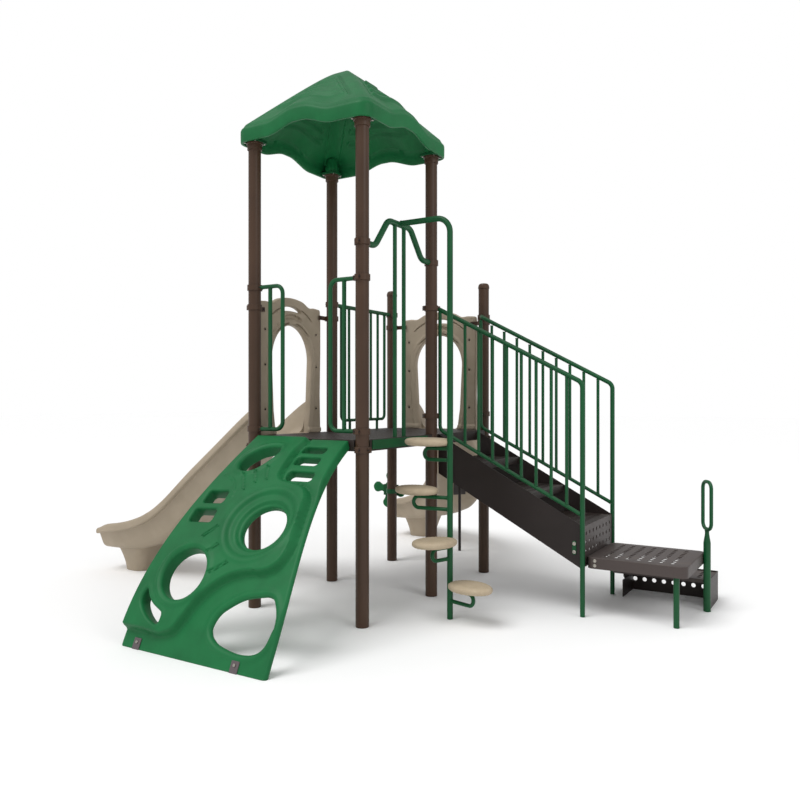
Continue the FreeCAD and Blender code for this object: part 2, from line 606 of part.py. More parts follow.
def make_slides():
    hood_face = DECK_EDGE + SEAM + HOOD_THICK + SEAM
    x_start = -hood_face
    stations = [(x_start - d, MID, math.pi, bed_height(share), rim) for d, share, rim in STRAIGHT_BED]
    body = chute(stations)
    x_end = x_start - STRAIGHT_BED[-1][0] + FOOT_SETBACK
    foot = slide_foot(x_end, x_end + FOOT_SPAN, MID, SLIDE_EXIT_Z + 12).cut(body)
    nodes["straight_slide"] = [body.fuse(max(foot.Solids, key=lambda solid: solid.Volume))]
    y_start = 2 * BAY + hood_face
    stations = [(*curve_place(d, MID, y_start), bed_height(share), rim) for d, share, rim in CURVED_BED]
    body = chute(stations)
    x_end, y_end, heading = curve_place(CURVED_BED[-1][0], MID, y_start)
    x_foot = x_end + FOOT_SETBACK
    foot = slide_foot(x_foot, x_foot + FOOT_SPAN, y_end, SLIDE_EXIT_Z + 12).cut(body)
    nodes["curved_slide"] = [body.fuse(max(foot.Solids, key=lambda solid: solid.Volume))]
    floor = CHUTE_FLOOR_HALF - 40
    sill = block(x_start, -DECK_EDGE, MID - floor, MID + floor, DECK_Z - CHUTE_FLOOR, DECK_Z - 2)
    nodes["straight_slide"] = [nodes["straight_slide"][0].fuse(sill).removeSplitter()]
    sill = block(MID - floor, MID + floor, REAR, y_start, DECK_Z - CHUTE_FLOOR, DECK_Z - 2)
    nodes["curved_slide"] = [nodes["curved_slide"][0].fuse(sill).removeSplitter()]


LEG_DISTANCE = 660.0
SLIDE_LEG_R = 14.0


def make_slide_leg():
    """Steel support leg under the curved slide, with a saddle plate against its floor."""
    y_start = 2 * BAY + DECK_EDGE + 2 * SEAM + HOOD_THICK
    x, y, heading = curve_place(LEG_DISTANCE, MID, y_start)
    leg = rod(V(x, y, 0), V(x, y, 1200), SLIDE_LEG_R)
    saddle = block(-90, 90, -60, 60, 0, 1200)
    saddle = moved(turned(saddle, math.degrees(heading)), x, y, 0)
    body = nodes["curved_slide"][0]
    under = moved(body, 0, 0, -8)
    shadow = saddle.common(under).cut(body)
    plate = max(shadow.Solids, key=lambda solid: solid.Volume)
    post = min(leg.cut([body, plate]).Solids, key=lambda solid: solid.CenterOfMass.z)
    nodes["curved_slide_leg"] = [post, plate]


# ---- barrier ---------------------------------------------------------------------------------
BARRIER_TOP, BARRIER_LOW = DECK_Z + 1036.0, DECK_Z + 86.0
BARRIER_BARS = 7
BARRIER_PITCH = 111.0


def make_barrier():
    """Guard between the middle and rear left posts: two rails, upright bars and two feet."""
    first = BAY + MID - BARRIER_PITCH * (BARRIER_BARS - 1) / 2
    last = first + BARRIER_PITCH * (BARRIER_BARS - 1)
    y0, y1 = BAY + EAR_REACH, 2 * BAY - EAR_REACH
    top = tube([(0, y0, BARRIER_TOP), (0, y1, BARRIER_TOP)], RAIL_R, RAIL_WALL)
    frame = tube([(0, first, BARRIER_TOP), (0, first, BARRIER_LOW), (0, last, BARRIER_LOW),
                  (0, last, BARRIER_TOP)], RAIL_R * 0.75, BAR_WALL, 45)
    top_rod = [rod(V(0, y0, BARRIER_TOP), V(0, y1, BARRIER_TOP), RAIL_R)]
    low_rod = [rod(V(0, first, BARRIER_LOW), V(0, last, BARRIER_LOW), RAIL_R * 0.75)]
    nodes["barrier_rails"] = top + cut_all(frame, top_rod)
    bars = []
    for i in range(1, BARRIER_BARS - 1):
        y = first + i * BARRIER_PITCH
        bars += tube([(0, y, BARRIER_LOW), (0, y, BARRIER_TOP)], BAR_R, BAR_WALL)
    for y in (first + 123, last - 123):
        bars += tube([(0, y, DECK_Z), (0, y, BARRIER_LOW)], BAR_R, BAR_WALL)
    nodes["barrier_bars"] = cut_all(bars, top_rod + low_rod)
    for y, angle in ((BAY, 90), (2 * BAY, -90)):
        add_collar(0, y, BARRIER_TOP, [angle, angle + 180], top_rod)


# ---- pod climber -----------------------------------------------------------------------------
ARCH_END_Z = DECK_Z + 1291.0
ARCH_CROWN_Z = ARCH_END_Z + 202.0
POD_POLE_TOP = ARCH_CROWN_Z + 3.0
ARCH_SHOULDER = 255.0
GRAB_BAR_YS = (MID - 60.0, MID + 60.0)
# each pod: its middle from the pole in X and Y, its height, and the way its long side turns
PODS = [("pod_top", -172, 0, DECK_Z - 28, 4), ("pod_upper", -243, -25, 858, -8),
        ("pod_lower", -44, -130, 528, 65), ("pod_bottom", 181, -55, 243, -16)]
POD_TUBE_R = 13.0
POD_TUBE_DROP = 78.0
POD_TUBE_PAST = 25.0        # how far a pod's bracket runs past the pod's middle


def pod(x, y, z, angle):
    """Pebble-shaped step: an egg outline, full height, with well rounded edges."""
    outline = []
    for i in range(16):
        a = 2 * math.pi * i / 16
        swell = 1 - 0.08 * math.cos(a)
        outline.append((POD_LENGTH / 2 * math.cos(a), POD_WIDTH / 2 * swell * math.sin(a), 0))
    wires = []
    for share, height in ((0.80, -0.5), (0.95, -0.36), (1.0, -0.1), (1.0, 0.1), (0.95, 0.36), (0.82, 0.5)):
        curve = Part.BSplineCurve()
        spots = [V(px * share, py * share, POD_THICK * height) for px, py, pz in outline]
        curve.interpolate(spots, PeriodicFlag=True)
        wires.append(Part.Wire(curve.toShape()))
    body = Part.makeLoft(wires, True, True)
    return moved(turned(body, angle), x, y, z)


def make_pod_climber():
    """Overhead arch with hand bars, one pole beside the deck, and four stepping pods."""
    arch_points = [(BAY, EAR_REACH, ARCH_END_Z), (BAY, 150, ARCH_END_Z), (BAY, ARCH_SHOULDER + 60, ARCH_CROWN_Z),
                   (BAY, BAY - ARCH_SHOULDER - 60, ARCH_CROWN_Z), (BAY, BAY - 150, ARCH_END_Z),
                   (BAY, BAY - EAR_REACH, ARCH_END_Z)]
    arch = tube(arch_points, ARCH_R, RAIL_WALL, 85)
    crown = [rod(V(BAY, ARCH_SHOULDER, ARCH_CROWN_Z), V(BAY, BAY - ARCH_SHOULDER, ARCH_CROWN_Z), ARCH_R)]
    nodes["pod_arch"] = arch
    ends = [rod(V(BAY, 0, ARCH_END_Z), V(BAY, 150, ARCH_END_Z), ARCH_R),
            rod(V(BAY, BAY, ARCH_END_Z), V(BAY, BAY - 150, ARCH_END_Z), ARCH_R)]
    add_collar(BAY, 0, ARCH_END_Z, [90, -90], ends[:1])
    add_collar(BAY, BAY, ARCH_END_Z, [90, -90], ends[1:])
    plate_x = SIDE + PLATE
    bars = []
    for y in GRAB_BAR_YS:
        bars += tube([(BAY, y, ARCH_CROWN_Z), (BAY, y, DECK_Z)], LOOP_R, RAIL_WALL)
    nodes["pod_hand_bars"] = cut_all(bars, crown)
    nodes["pod_deck_plate"] = [block(SIDE, plate_x, 70, BAY - 120, DECK_Z - 66, DECK_Z - 4)]
    pole = tube([(BAY, POD_POLE_Y, POD_POLE_TOP), (POD_POLE_X, POD_POLE_Y, POD_POLE_TOP),
                 (POD_POLE_X, POD_POLE_Y, 0)], POD_POLE_R, RAIL_WALL, 100)
    nodes["pod_pole"] = cut_all(pole, crown)
    pole_rod = rod(V(POD_POLE_X, POD_POLE_Y, 0), V(POD_POLE_X, POD_POLE_Y, POD_POLE_TOP - 100), POD_POLE_R)
    brackets = []
    for name, across, along, z, angle in PODS:
        x, y = POD_POLE_X + across, POD_POLE_Y + along
        shape = pod(x, y, z, angle)
        top = z - POD_THICK / 2 - POD_TUBE_R
        reach = V(x - POD_POLE_X, y - POD_POLE_Y, 0)
        reach = reach * ((reach.Length + POD_TUBE_PAST) / reach.Length)
        end = V(POD_POLE_X, POD_POLE_Y, 0) + reach
        loop = tube([(POD_POLE_X, POD_POLE_Y, top), (end.x, end.y, top),
                     (end.x, end.y, top - POD_TUBE_DROP), (POD_POLE_X, POD_POLE_Y, top - POD_TUBE_DROP)],
                    POD_TUBE_R, BAR_WALL, POD_TUBE_DROP / 2 - 0.1)
        brackets += cut_all(loop, [pole_rod])
        nodes[name] = cut_all([shape], [rod(V(POD_POLE_X, POD_POLE_Y, 0),
                                            V(POD_POLE_X, POD_POLE_Y, 2000), POD_POLE_R + FIT_GAP)])
    nodes["pod_brackets"] = brackets


# ---- stair -----------------------------------------------------------------------------------
STAIR_TOP_X = SIDE
STAIR_END_X = STAIR_TOP_X + STAIR_RUN * STAIR_STEPS
STRINGER_DEPTH = 298.0
STRINGER_DROP = STAIR_STEPS * STAIR_RISE - 2.0
HANDRAIL_PITCH = (STAIR_END_X - HANDRAIL_FIRST_X) / (STAIR_BARS + 1)


def make_stair():
    """Two plate stringers, three treads and a closed bottom riser."""
    top, low = DECK_Z, DECK_Z - STRINGER_DROP
    outline = [(STAIR_TOP_X, top), (STAIR_END_X, low), (STAIR_END_X, low - STRINGER_DEPTH),
               (STAIR_TOP_X, top - STRINGER_DEPTH)]
    for name, y in (("stringer_front", STAIR_FRONT_Y - PLATE), ("stringer_back", STAIR_BACK_Y)):
        nodes[name] = [prism([(x, y, z) for x, z in outline], V(0, PLATE, 0))]
    treads = []
    for i in range(STAIR_STEPS):
        x = STAIR_TOP_X + i * STAIR_RUN
        z = DECK_Z - (i + 1) * STAIR_RISE
        tread = block(x, x + STAIR_RUN, STAIR_FRONT_Y, STAIR_BACK_Y, z - 50, z)
        hollow = block(x - 1, x + STAIR_RUN - PLATE, STAIR_FRONT_Y - 1, STAIR_BACK_Y + 1, z - 51, z - PLATE)
        if i < STAIR_STEPS - 1:
            treads.append(tread.cut(hollow))
        else:
            tread = block(x, x + STAIR_RUN - PLATE, STAIR_FRONT_Y, STAIR_BACK_Y, z - PLATE, z)
            treads.append(tread)
    nodes["stair_treads"] = treads
    riser_top = DECK_Z - STAIR_STEPS * STAIR_RISE
    nodes["stair_riser"] = [block(STAIR_END_X - PLATE, STAIR_END_X, STAIR_FRONT_Y, STAIR_BACK_Y,
                                  TRANSFER_Z - DECK_DEPTH, riser_top)]


def make_handrails():
    """Each side: a top rail bent down into the newel, an upright bent into the sloping lower
    rail, and bars between them. The front rail starts at the middle post, the back rail at the
    rear post."""
    first_x, upright_x = HANDRAIL_FIRST_X, HANDRAIL_FIRST_X + 12.0
    slope = (HANDRAIL_TOP_Z - HANDRAIL_END_Z) / (STAIR_END_X - first_x)
    low_end = HANDRAIL_LOW_Z - slope * (STAIR_END_X - first_x)
    low_start = HANDRAIL_LOW_Z - slope * (upright_x - first_x)
    start_x = BAY + HANDRAIL_START_X
    for side, way, post_y in (("front", -1, BAY), ("back", 1, 2 * BAY)):
        y = (STAIR_FRONT_Y if side == "front" else STAIR_BACK_Y) + way * (PLATE + RAIL_R)
        start_z = HANDRAIL_TOP_Z - slope * (start_x - first_x)
        top_path = [(start_x, y, start_z), (STAIR_END_X, y, HANDRAIL_END_Z), (STAIR_END_X, y, 0)]
        if side == "back":
            top_path = [(BAY + 10, 2 * BAY - EAR_REACH + 4, start_z + 20),
                        (start_x + 25, y, start_z)] + top_path[1:]
        top = tube(top_path, RAIL_R, RAIL_WALL, HANDRAIL_BEND)
        top_rod = rod(V(start_x, y, start_z), V(STAIR_END_X, y, HANDRAIL_END_Z), RAIL_R)
        newel = rod(V(STAIR_END_X, y, 0), V(STAIR_END_X, y, HANDRAIL_END_Z - 80), RAIL_R)
        low = tube([(STAIR_END_X, y, low_end), (upright_x, y, low_start),
                    (upright_x, y, HANDRAIL_TOP_Z)], RAIL_R - 3, RAIL_WALL, HANDRAIL_BEND)
        low = [low[0].cut(newel), low[1].cut(top)] + low[2:]
        low = [max(piece.Solids, key=lambda solid: solid.Volume) for piece in low]
        nodes["handrail_" + side] = top + low
        low_rod = rod(V(first_x, y, HANDRAIL_LOW_Z), V(STAIR_END_X, y, low_end), RAIL_R - 3)
        bars = []
        for i in range(1, STAIR_BARS + 1):
            x = first_x + i * HANDRAIL_PITCH
            drop = slope * (x - first_x)
            bars += tube([(x, y, HANDRAIL_LOW_Z - drop), (x, y, HANDRAIL_TOP_Z - drop)], BAR_R, BAR_WALL)
        nodes["handrail_bars_" + side] = cut_all(bars, [top_rod, low_rod])
        upright = rod(V(upright_x, y, HANDRAIL_LOW_Z + 42), V(upright_x, y, HANDRAIL_TOP_Z - 65), RAIL_R - 3)
        if side == "front":
            aim = math.degrees(math.atan2(y - post_y, HANDRAIL_START_X))
            add_collar(BAY, post_y, start_z + 4, [aim, aim + 180], [rod(V(start_x, y, start_z),
                       V(start_x + 200, y, start_z - 200 * slope), RAIL_R)])
            add_collar(BAY, post_y, HANDRAIL_CLAMP_Z, [aim, aim + 180], [upright])
        else:
            spot = V(BAY + 10, 2 * BAY - EAR_REACH + 4, start_z + 20)
            bend = V(start_x + 25, y, start_z)
            add_collar(BAY, post_y, start_z + 20, [-80, 100], [rod(spot, bend, RAIL_R)])
            link_end = V(BAY + 10, 2 * BAY - EAR_REACH + 4, HANDRAIL_CLAMP_Z)
            link = tube([(upright_x, y, HANDRAIL_CLAMP_Z), tuple(link_end)], BAR_R, BAR_WALL)
            nodes["handrail_back"] += cut_all(link, [upright])
            add_collar(BAY, post_y, HANDRAIL_CLAMP_Z, [-80, 100],
                       [rod(V(upright_x, y, HANDRAIL_CLAMP_Z), link_end, BAR_R)])


# ---- transfer deck and step ------------------------------------------------------------------
def tray(x0, x1, y0, y1, top, depth, radius):
    """Shallow deck: a plate with a rounded skirt round it, open below."""
    body = Part.Face(rounded_rectangle(x0, x1, y0, y1, top - depth, radius)).extrude(V(0, 0, depth))
    hollow = Part.Face(rounded_rectangle(x0 + DECK_PLATE, x1 - DECK_PLATE, y0 + DECK_PLATE,
                                         y1 - DECK_PLATE, top - depth, radius - DECK_PLATE))
    return body.cut(hollow.extrude(V(0, 0, depth - DECK_PLATE)))


TRANSFER_X0 = STAIR_END_X + RAIL_R + 1.0
TRANSFER_X1 = TRANSFER_X0 + TRANSFER_LENGTH
SKIRT_HOLES, SKIRT_PITCH, SKIRT_HOLE_R = 8, 72.0, 16.0
HAND_LOOP_WIDTH, HAND_LOOP_TOP, HAND_LOOP_LOW = 122.0, 906.0, 575.0


def make_transfer():
    """Wheelchair-height deck, the low step behind it, their legs and the tall hand loop."""
    y0, y1 = TRANSFER_Y0, TRANSFER_Y1
    nodes["transfer_deck"] = [tray(TRANSFER_X0, TRANSFER_X1, y0, y1, TRANSFER_Z, DECK_DEPTH, 45)]
    tie = block(STAIR_END_X, TRANSFER_X0, y0 + 60, y1 - 60, TRANSFER_Z - 66, TRANSFER_Z - 10)
    step_y0, step_y1 = y1 + SEAM, y1 + SEAM + STEP_DEPTH
    step_x0, step_x1 = TRANSFER_X0, TRANSFER_X0 + STEP_LENGTH
    step = tray(step_x0, step_x1, step_y0, step_y1 - PLATE, STEP_Z, DECK_DEPTH, 20)
    nodes["transfer_step"] = [step]
    skirt = prism([(step_x0 + 60, step_y1 - PLATE, 0), (step_x1, step_y1 - PLATE, 0),
                   (step_x1, step_y1 - PLATE, STEP_Z + 8), (step_x0, step_y1 - PLATE, STEP_Z + 8),
                   (step_x0, step_y1 - PLATE, 90)], V(0, PLATE, 0))
    first = step_x0 + 92
    holes = [Part.makeCylinder(SKIRT_HOLE_R, 40, V(first + i * SKIRT_PITCH, step_y1 - 20, 84), Y_AXIS)
             for i in range(SKIRT_HOLES)]
    end = block(step_x1, step_x1 + PLATE, step_y0, step_y1, 0, STEP_Z + 8)
    low_end = block(step_x0 + 70, step_x0 + 70 + PLATE, step_y0 + 20, step_y1 - PLATE, 0, STEP_Z - DECK_DEPTH)
    nodes["transfer_step_skirt"] = [skirt.cut(holes), end, low_end]
    ties = [tie]
    for x in (step_x0 + 120, step_x1 - 200):
        strap = block(x, x + 60, y1, y1 + SEAM + 30, STEP_Z, TRANSFER_Z - 16)
        strap = strap.cut(block(x - 1, x + 61, y1 + PLATE, y1 + 40, STEP_Z + PLATE, TRANSFER_Z))
        ties.append(strap)
    nodes["transfer_deck_ties"] = ties
    nodes["transfer_leg"] = tube([(TRANSFER_X1 - 75, y0 + 40, 0),
                                  (TRANSFER_X1 - 75, y0 + 40, TRANSFER_Z - DECK_PLATE)], LEG_R, RAIL_WALL)
    x, y = TRANSFER_X1 + SLEEVE_R, y1 - 70
    sleeve = Part.makeCylinder(SLEEVE_R, 480, V(x, y, 0))
    cone = Part.makeCone(SLEEVE_R, LOOP_R, 60, V(x, y, 480))
    neck_z = HAND_LOOP_LOW - 12.5
    neck = Part.makeCylinder(LOOP_R, neck_z - 540, V(x, y, 540))
    nodes["hand_loop_leg"] = [sleeve.fuse([cone, neck]).removeSplitter()]
    half = HAND_LOOP_WIDTH / 2
    r = 12.5
    loop = tube([(x, y, HAND_LOOP_LOW), (x, y + half, HAND_LOOP_LOW), (x, y + half, HAND_LOOP_TOP),
                 (x, y - half, HAND_LOOP_TOP), (x, y - half, HAND_LOOP_LOW), (x, y, HAND_LOOP_LOW)],
                r, BAR_WALL, half - 4)
    nodes["hand_loop"] = cut_all(loop, [nodes["hand_loop_leg"][0]])


# ---- roof ------------------------------------------------------------------------------------
def make_roof():
    """Moulded roof shell with a low arched eave on each side and a pad over each post."""
    low, high = -ROOF_OVERHANG, BAY + ROOF_OVERHANG

    def pyramid(inset, drop, top):
        wires = [rounded_rectangle(low + inset, high - inset, low + inset, high - inset,
                                   ROOF_EAVE - drop, ROOF_CORNER_R - inset)]
        levels = [(0.0, ROOF_FASCIA - inset * 0.5), (60.0, ROOF_FASCIA + 85 - inset)]
        for side, rise in levels:
            wires.append(rounded_rectangle(low + inset + side, high - inset - side, low + inset + side,
                                           high - inset - side, ROOF_EAVE + rise, ROOF_CORNER_R - inset))
        half = 55.0
        wires.append(rounded_rectangle(MID - half, MID + half, MID - half, MID + half, top, 50))
        return Part.makeLoft(wires, True, True)
    shell = pyramid(0, 0, ROOF_TOP).cut(pyramid(ROOF_SKIN, 40, ROOF_TOP - ROOF_SKIN * 1.2))
    pads = []
    pad_z = TALL_POST + FLANGE_HEIGHT + BRACKET_HEIGHT
    for x, y in ROOF_CORNERS:
        pad = block(x - 85, x + 85, y - 85, y + 85, pad_z, pad_z + 110)
        pads.append(pad.common(pyramid(5, 0, ROOF_TOP - 10)))
    shell = shell.fuse(pads)
    run = (high - low) / 2
    radius = (run ** 2 + ROOF_ARCH ** 2) / (2 * ROOF_ARCH)
    arch_x = Part.makeCylinder(radius, 3000, V(MID, -1000, ROOF_EAVE + ROOF_ARCH - radius), Y_AXIS)
    arch_y = Part.makeCylinder(radius, 3000, V(-1000, MID, ROOF_EAVE + ROOF_ARCH - radius), X_AXIS)
    trim = block(low + ROOF_SKIN, high - ROOF_SKIN, low - 10, high + 10, ROOF_EAVE - 10, ROOF_EAVE + 60)
    trim_y = block(low - 10, high + 10, low + ROOF_SKIN, high - ROOF_SKIN, ROOF_EAVE - 10, ROOF_EAVE + 60)
    shell = shell.cut([arch_x.common(trim), arch_y.common(trim_y)])
    nodes["roof_canopy"] = [max(shell.Solids, key=lambda solid: solid.Volume)]
    flanges, brackets, bolts = [], [], []
    for x, y in ROOF_CORNERS:
        flange = Part.makeCylinder(FLANGE_R, FLANGE_HEIGHT, V(x, y, TALL_POST))
        sleeve = Part.makeCylinder(COLLAR_R, 40, V(x, y, TALL_POST - 40))
        bore = Part.makeCylinder(POST_R + FIT_GAP, 40, V(x, y, TALL_POST - 40))
        flanges.append(flange.fuse(sleeve.cut(bore)).removeSplitter())
        z = TALL_POST + FLANGE_HEIGHT
        brackets.append(block(x - BRACKET_HALF, x + BRACKET_HALF, y - BRACKET_HALF, y + BRACKET_HALF,
                              z, z + BRACKET_HEIGHT))
        for dx, dy in ((1, 1), (1, -1), (-1, 1), (-1, -1)):
            spot = V(x + dx * 48, y + dy * 48, z)
            bolts.append(Part.makeCylinder(BOLT_HEAD_R * 0.8, BOLT_HEAD, spot, Z_AXIS * -1))
    nodes["roof_post_flanges"] = flanges
    nodes["roof_corner_brackets"] = cut_all(brackets, [nodes["roof_canopy"][0]])
    nodes["roof_bolts"] = cut_all(bolts, flanges)


# ---- activity wheel --------------------------------------------------------------------------
def make_wheel():
    """Four-lobed wheel that spins on an axle fixed to the rear left post, under the landing."""
    x, y = 0.0, 2 * BAY
    hub_y = y + COLLAR_R + WHEEL_STANDOFF
    wheel_y0 = hub_y + 14.0
    clamp = collar(x, y, WHEEL_Z, [90], hub_y - y)
    block_part = block(x - WHEEL_SHIFT - 34, x + 26, y + COLLAR_R + 3, hub_y, WHEEL_Z - 50, WHEEL_Z + 50)
    clamp = clamp.fuse(block_part).removeSplitter()
    centre = V(x - WHEEL_SHIFT, 0, WHEEL_Z)
    axle_start = V(centre.x, y + COLLAR_R + 10, WHEEL_Z)
    axle_end = V(centre.x, wheel_y0 + WHEEL_THICK + 26, WHEEL_Z)
    axle = rod(axle_start, axle_end, AXLE_R)
    washer = rod(V(centre.x, hub_y, WHEEL_Z), V(centre.x, wheel_y0 - 1.0, WHEEL_Z), AXLE_R + 8)
    washer = washer.cut(axle)
    nut = rod(V(centre.x, wheel_y0 + WHEEL_THICK + 9.0, WHEEL_Z), V(centre.x, axle_end.y + 4, WHEEL_Z),
              AXLE_R + 8)
    nodes["wheel_bracket"] = [clamp.cut(axle)]
    nodes["wheel_axle"] = [axle.fuse(nut).removeSplitter(), washer]
    lobes = Part.makeCylinder(62, WHEEL_THICK, V(0, 0, 0))
    for i in range(4):
        angle = math.radians(90 * i + 8)
        way = V(math.cos(angle), math.sin(angle), 0)
        lobe = Part.makeCylinder(48, WHEEL_THICK, way * (WHEEL_R - 48))
        side = V(-way.y, way.x, 0)
        corners = [way * 0 + side * 30, way * 0 - side * 30, way * (WHEEL_R - 48) - side * 34,
                   way * (WHEEL_R - 48) + side * 34]
        neck = prism([(p.x, p.y, p.z) for p in corners], V(0, 0, WHEEL_THICK))
        lobes = lobes.fuse([lobe, neck])
    hub = Part.makeCylinder(30, WHEEL_THICK + 8, V(0, 0, 0))
    body = lobes.fuse(hub)
    body = body.cut(Part.makeCylinder(AXLE_R + AXLE_CLEARANCE, WHEEL_THICK + 40, V(0, 0, -10)))
    body = turned(body.removeSplitter(), -90, axis=X_AXIS)
    nodes["activity_wheel"] = [moved(body, centre.x, wheel_y0, WHEEL_Z)]


# ---- build, shift the origin to the base centre, write one file per node ---------------------
make_posts()
make_deck_clamps()
make_decks()
make_climbing_wall()
make_wall_fixings()
make_grab_rails()
make_hoods()
make_slides()
make_slide_leg()
make_barrier()
make_pod_climber()
make_stair()
make_handrails()
make_transfer()
make_roof()
make_wheel()
nodes["rail_collars"] = rail_collars
nodes["rail_collar_bolts"] = rail_bolts

low, high = V(1e9, 1e9, 1e9), V(-1e9, -1e9, -1e9)
for pieces in nodes.values():
    for piece in pieces:
        box = piece.BoundBox
        low = V(min(low.x, box.XMin), min(low.y, box.YMin), min(low.z, box.ZMin))
        high = V(max(high.x, box.XMax), max(high.y, box.YMax), max(high.z, box.ZMax))
shift = V(-(low.x + high.x) / 2, -(low.y + high.y) / 2, 0)
print("shift", [round(v, 3) for v in shift], "size", [round(v, 1) for v in high - low], "low z", low.z)

os.makedirs("parts", exist_ok=True)
for name, pieces in nodes.items():
    shape = pieces[0] if len(pieces) == 1 else Part.makeCompound(pieces)
    shape.translate(shift)
    bad = [i for i, piece in enumerate(shape.Solids) if not piece.isValid()]
    if bad or len(shape.Solids) != len(pieces):
        print("check", name, "solids", len(shape.Solids), "of", len(pieces), "invalid", bad)
    shape.exportStep("parts/" + name + ".step")
print(len(nodes), "nodes", sum(len(pieces) for pieces in nodes.values()), "solids")
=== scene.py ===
"""Looks of a play structure: a curved climbing wall on a roofed tower, two slides, a pod
climber and a transfer stair. Shapes are worked out in the layout's millimetres, in which the
front left post stands at X 0, Y 0, and build() puts them into the frame in metres.
"""
import math

import bmesh
import bpy
import numpy as np
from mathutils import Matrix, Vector
from mathutils.geometry import delaunay_2d_cdt


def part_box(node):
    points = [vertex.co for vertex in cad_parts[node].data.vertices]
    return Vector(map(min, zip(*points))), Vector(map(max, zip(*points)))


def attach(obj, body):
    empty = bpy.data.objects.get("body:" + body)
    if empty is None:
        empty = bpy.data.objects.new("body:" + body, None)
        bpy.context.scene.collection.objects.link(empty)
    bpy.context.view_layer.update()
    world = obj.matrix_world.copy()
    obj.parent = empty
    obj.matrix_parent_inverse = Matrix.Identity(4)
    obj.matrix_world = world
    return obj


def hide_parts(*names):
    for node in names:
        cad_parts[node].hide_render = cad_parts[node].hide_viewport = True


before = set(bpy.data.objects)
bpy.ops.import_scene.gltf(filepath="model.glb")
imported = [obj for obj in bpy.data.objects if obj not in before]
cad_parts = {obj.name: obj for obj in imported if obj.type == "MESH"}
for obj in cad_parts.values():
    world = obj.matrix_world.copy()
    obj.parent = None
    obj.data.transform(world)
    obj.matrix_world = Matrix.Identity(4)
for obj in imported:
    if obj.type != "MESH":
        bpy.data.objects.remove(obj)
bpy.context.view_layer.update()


# ---- Studio ---------------------------------------------------------------------------------
# A white cyclorama under an even white sky, with a wide soft sun from the front left and a weak
# lamp on the right. The camera stands at a person's eye height off the stair's corner.
MM = 0.001
SKY_LIGHT = 0.58        # strength of the sky as a light, where the camera sees it at 1
post_low, post_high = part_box("post_front_left")
ORIGIN = np.array([(post_low.x + post_high.x) / 2, (post_low.y + post_high.y) / 2, 0.0])

scene = bpy.context.scene
scene.view_settings.view_transform = "Standard"
camera = bpy.data.objects.new("camera", bpy.data.cameras.new("camera"))
camera.location = Vector(ORIGIN) + Vector((3.74443, -4.15691, 1.48787))
camera.rotation_euler = (math.radians(90), 0, math.radians(31.312))
camera.data.lens = 34.6
camera.data.shift_y = -0.0018
scene.collection.objects.link(camera)
scene.camera = camera

world = bpy.data.worlds.new("sky")
world.use_nodes = True
sky = world.node_tree
sky.nodes["Background"].inputs["Color"].default_value = (1, 1, 1, 1)
seen = sky.nodes.new("ShaderNodeLightPath")
strength = sky.nodes.new("ShaderNodeMath")
strength.operation = "MULTIPLY_ADD"
strength.inputs[1].default_value = 1 - SKY_LIGHT
strength.inputs[2].default_value = SKY_LIGHT
sky.links.new(seen.outputs["Is Camera Ray"], strength.inputs[0])
sky.links.new(strength.outputs[0], sky.nodes["Background"].inputs["Strength"])
scene.world = world


def hang(light, spot, way):
    """Holds a light at spot, in metres from the front left post, shining along way."""
    holder = bpy.data.objects.new(light.name, light)
    holder.location = Vector(ORIGIN) + Vector(spot)
    holder.rotation_euler = Vector(way).to_track_quat("-Z", "Y").to_euler()
    scene.collection.objects.link(holder)


lamp = bpy.data.lights.new("lamp_right", "AREA")
lamp.energy, lamp.size = 120, 3.5
hang(lamp, (8.5, -2.0, 6.0), (-7.9, 2.8, -4.8))
sun = bpy.data.lights.new("sun", "SUN")
sun.energy, sun.angle = 1.75, math.radians(38)
hang(sun, (0, 0, 0), (0.25, 0.55, -1.0))

floor_mesh = bpy.data.meshes.new("floor")
FLOOR_HALF = 60.0
floor_corners = [(x * FLOOR_HALF, y * FLOOR_HALF, 0) for x, y in ((-1, -1), (1, -1), (1, 1), (-1, 1))]
floor_mesh.from_pydata(floor_corners, [], [(0, 1, 2, 3)])
floor = bpy.data.objects.new("floor", floor_mesh)
floor.location.z = -0.001
floor_paint = bpy.data.materials.new("floor_paint")
floor_paint.use_nodes = True
floor_inputs = floor_paint.node_tree.nodes["Principled BSDF"].inputs
floor_inputs["Base Color"].default_value = (0.97, 0.97, 0.97, 1)
floor_inputs["Roughness"].default_value = 0.9
floor_mesh.materials.append(floor_paint)
scene.collection.objects.link(floor)


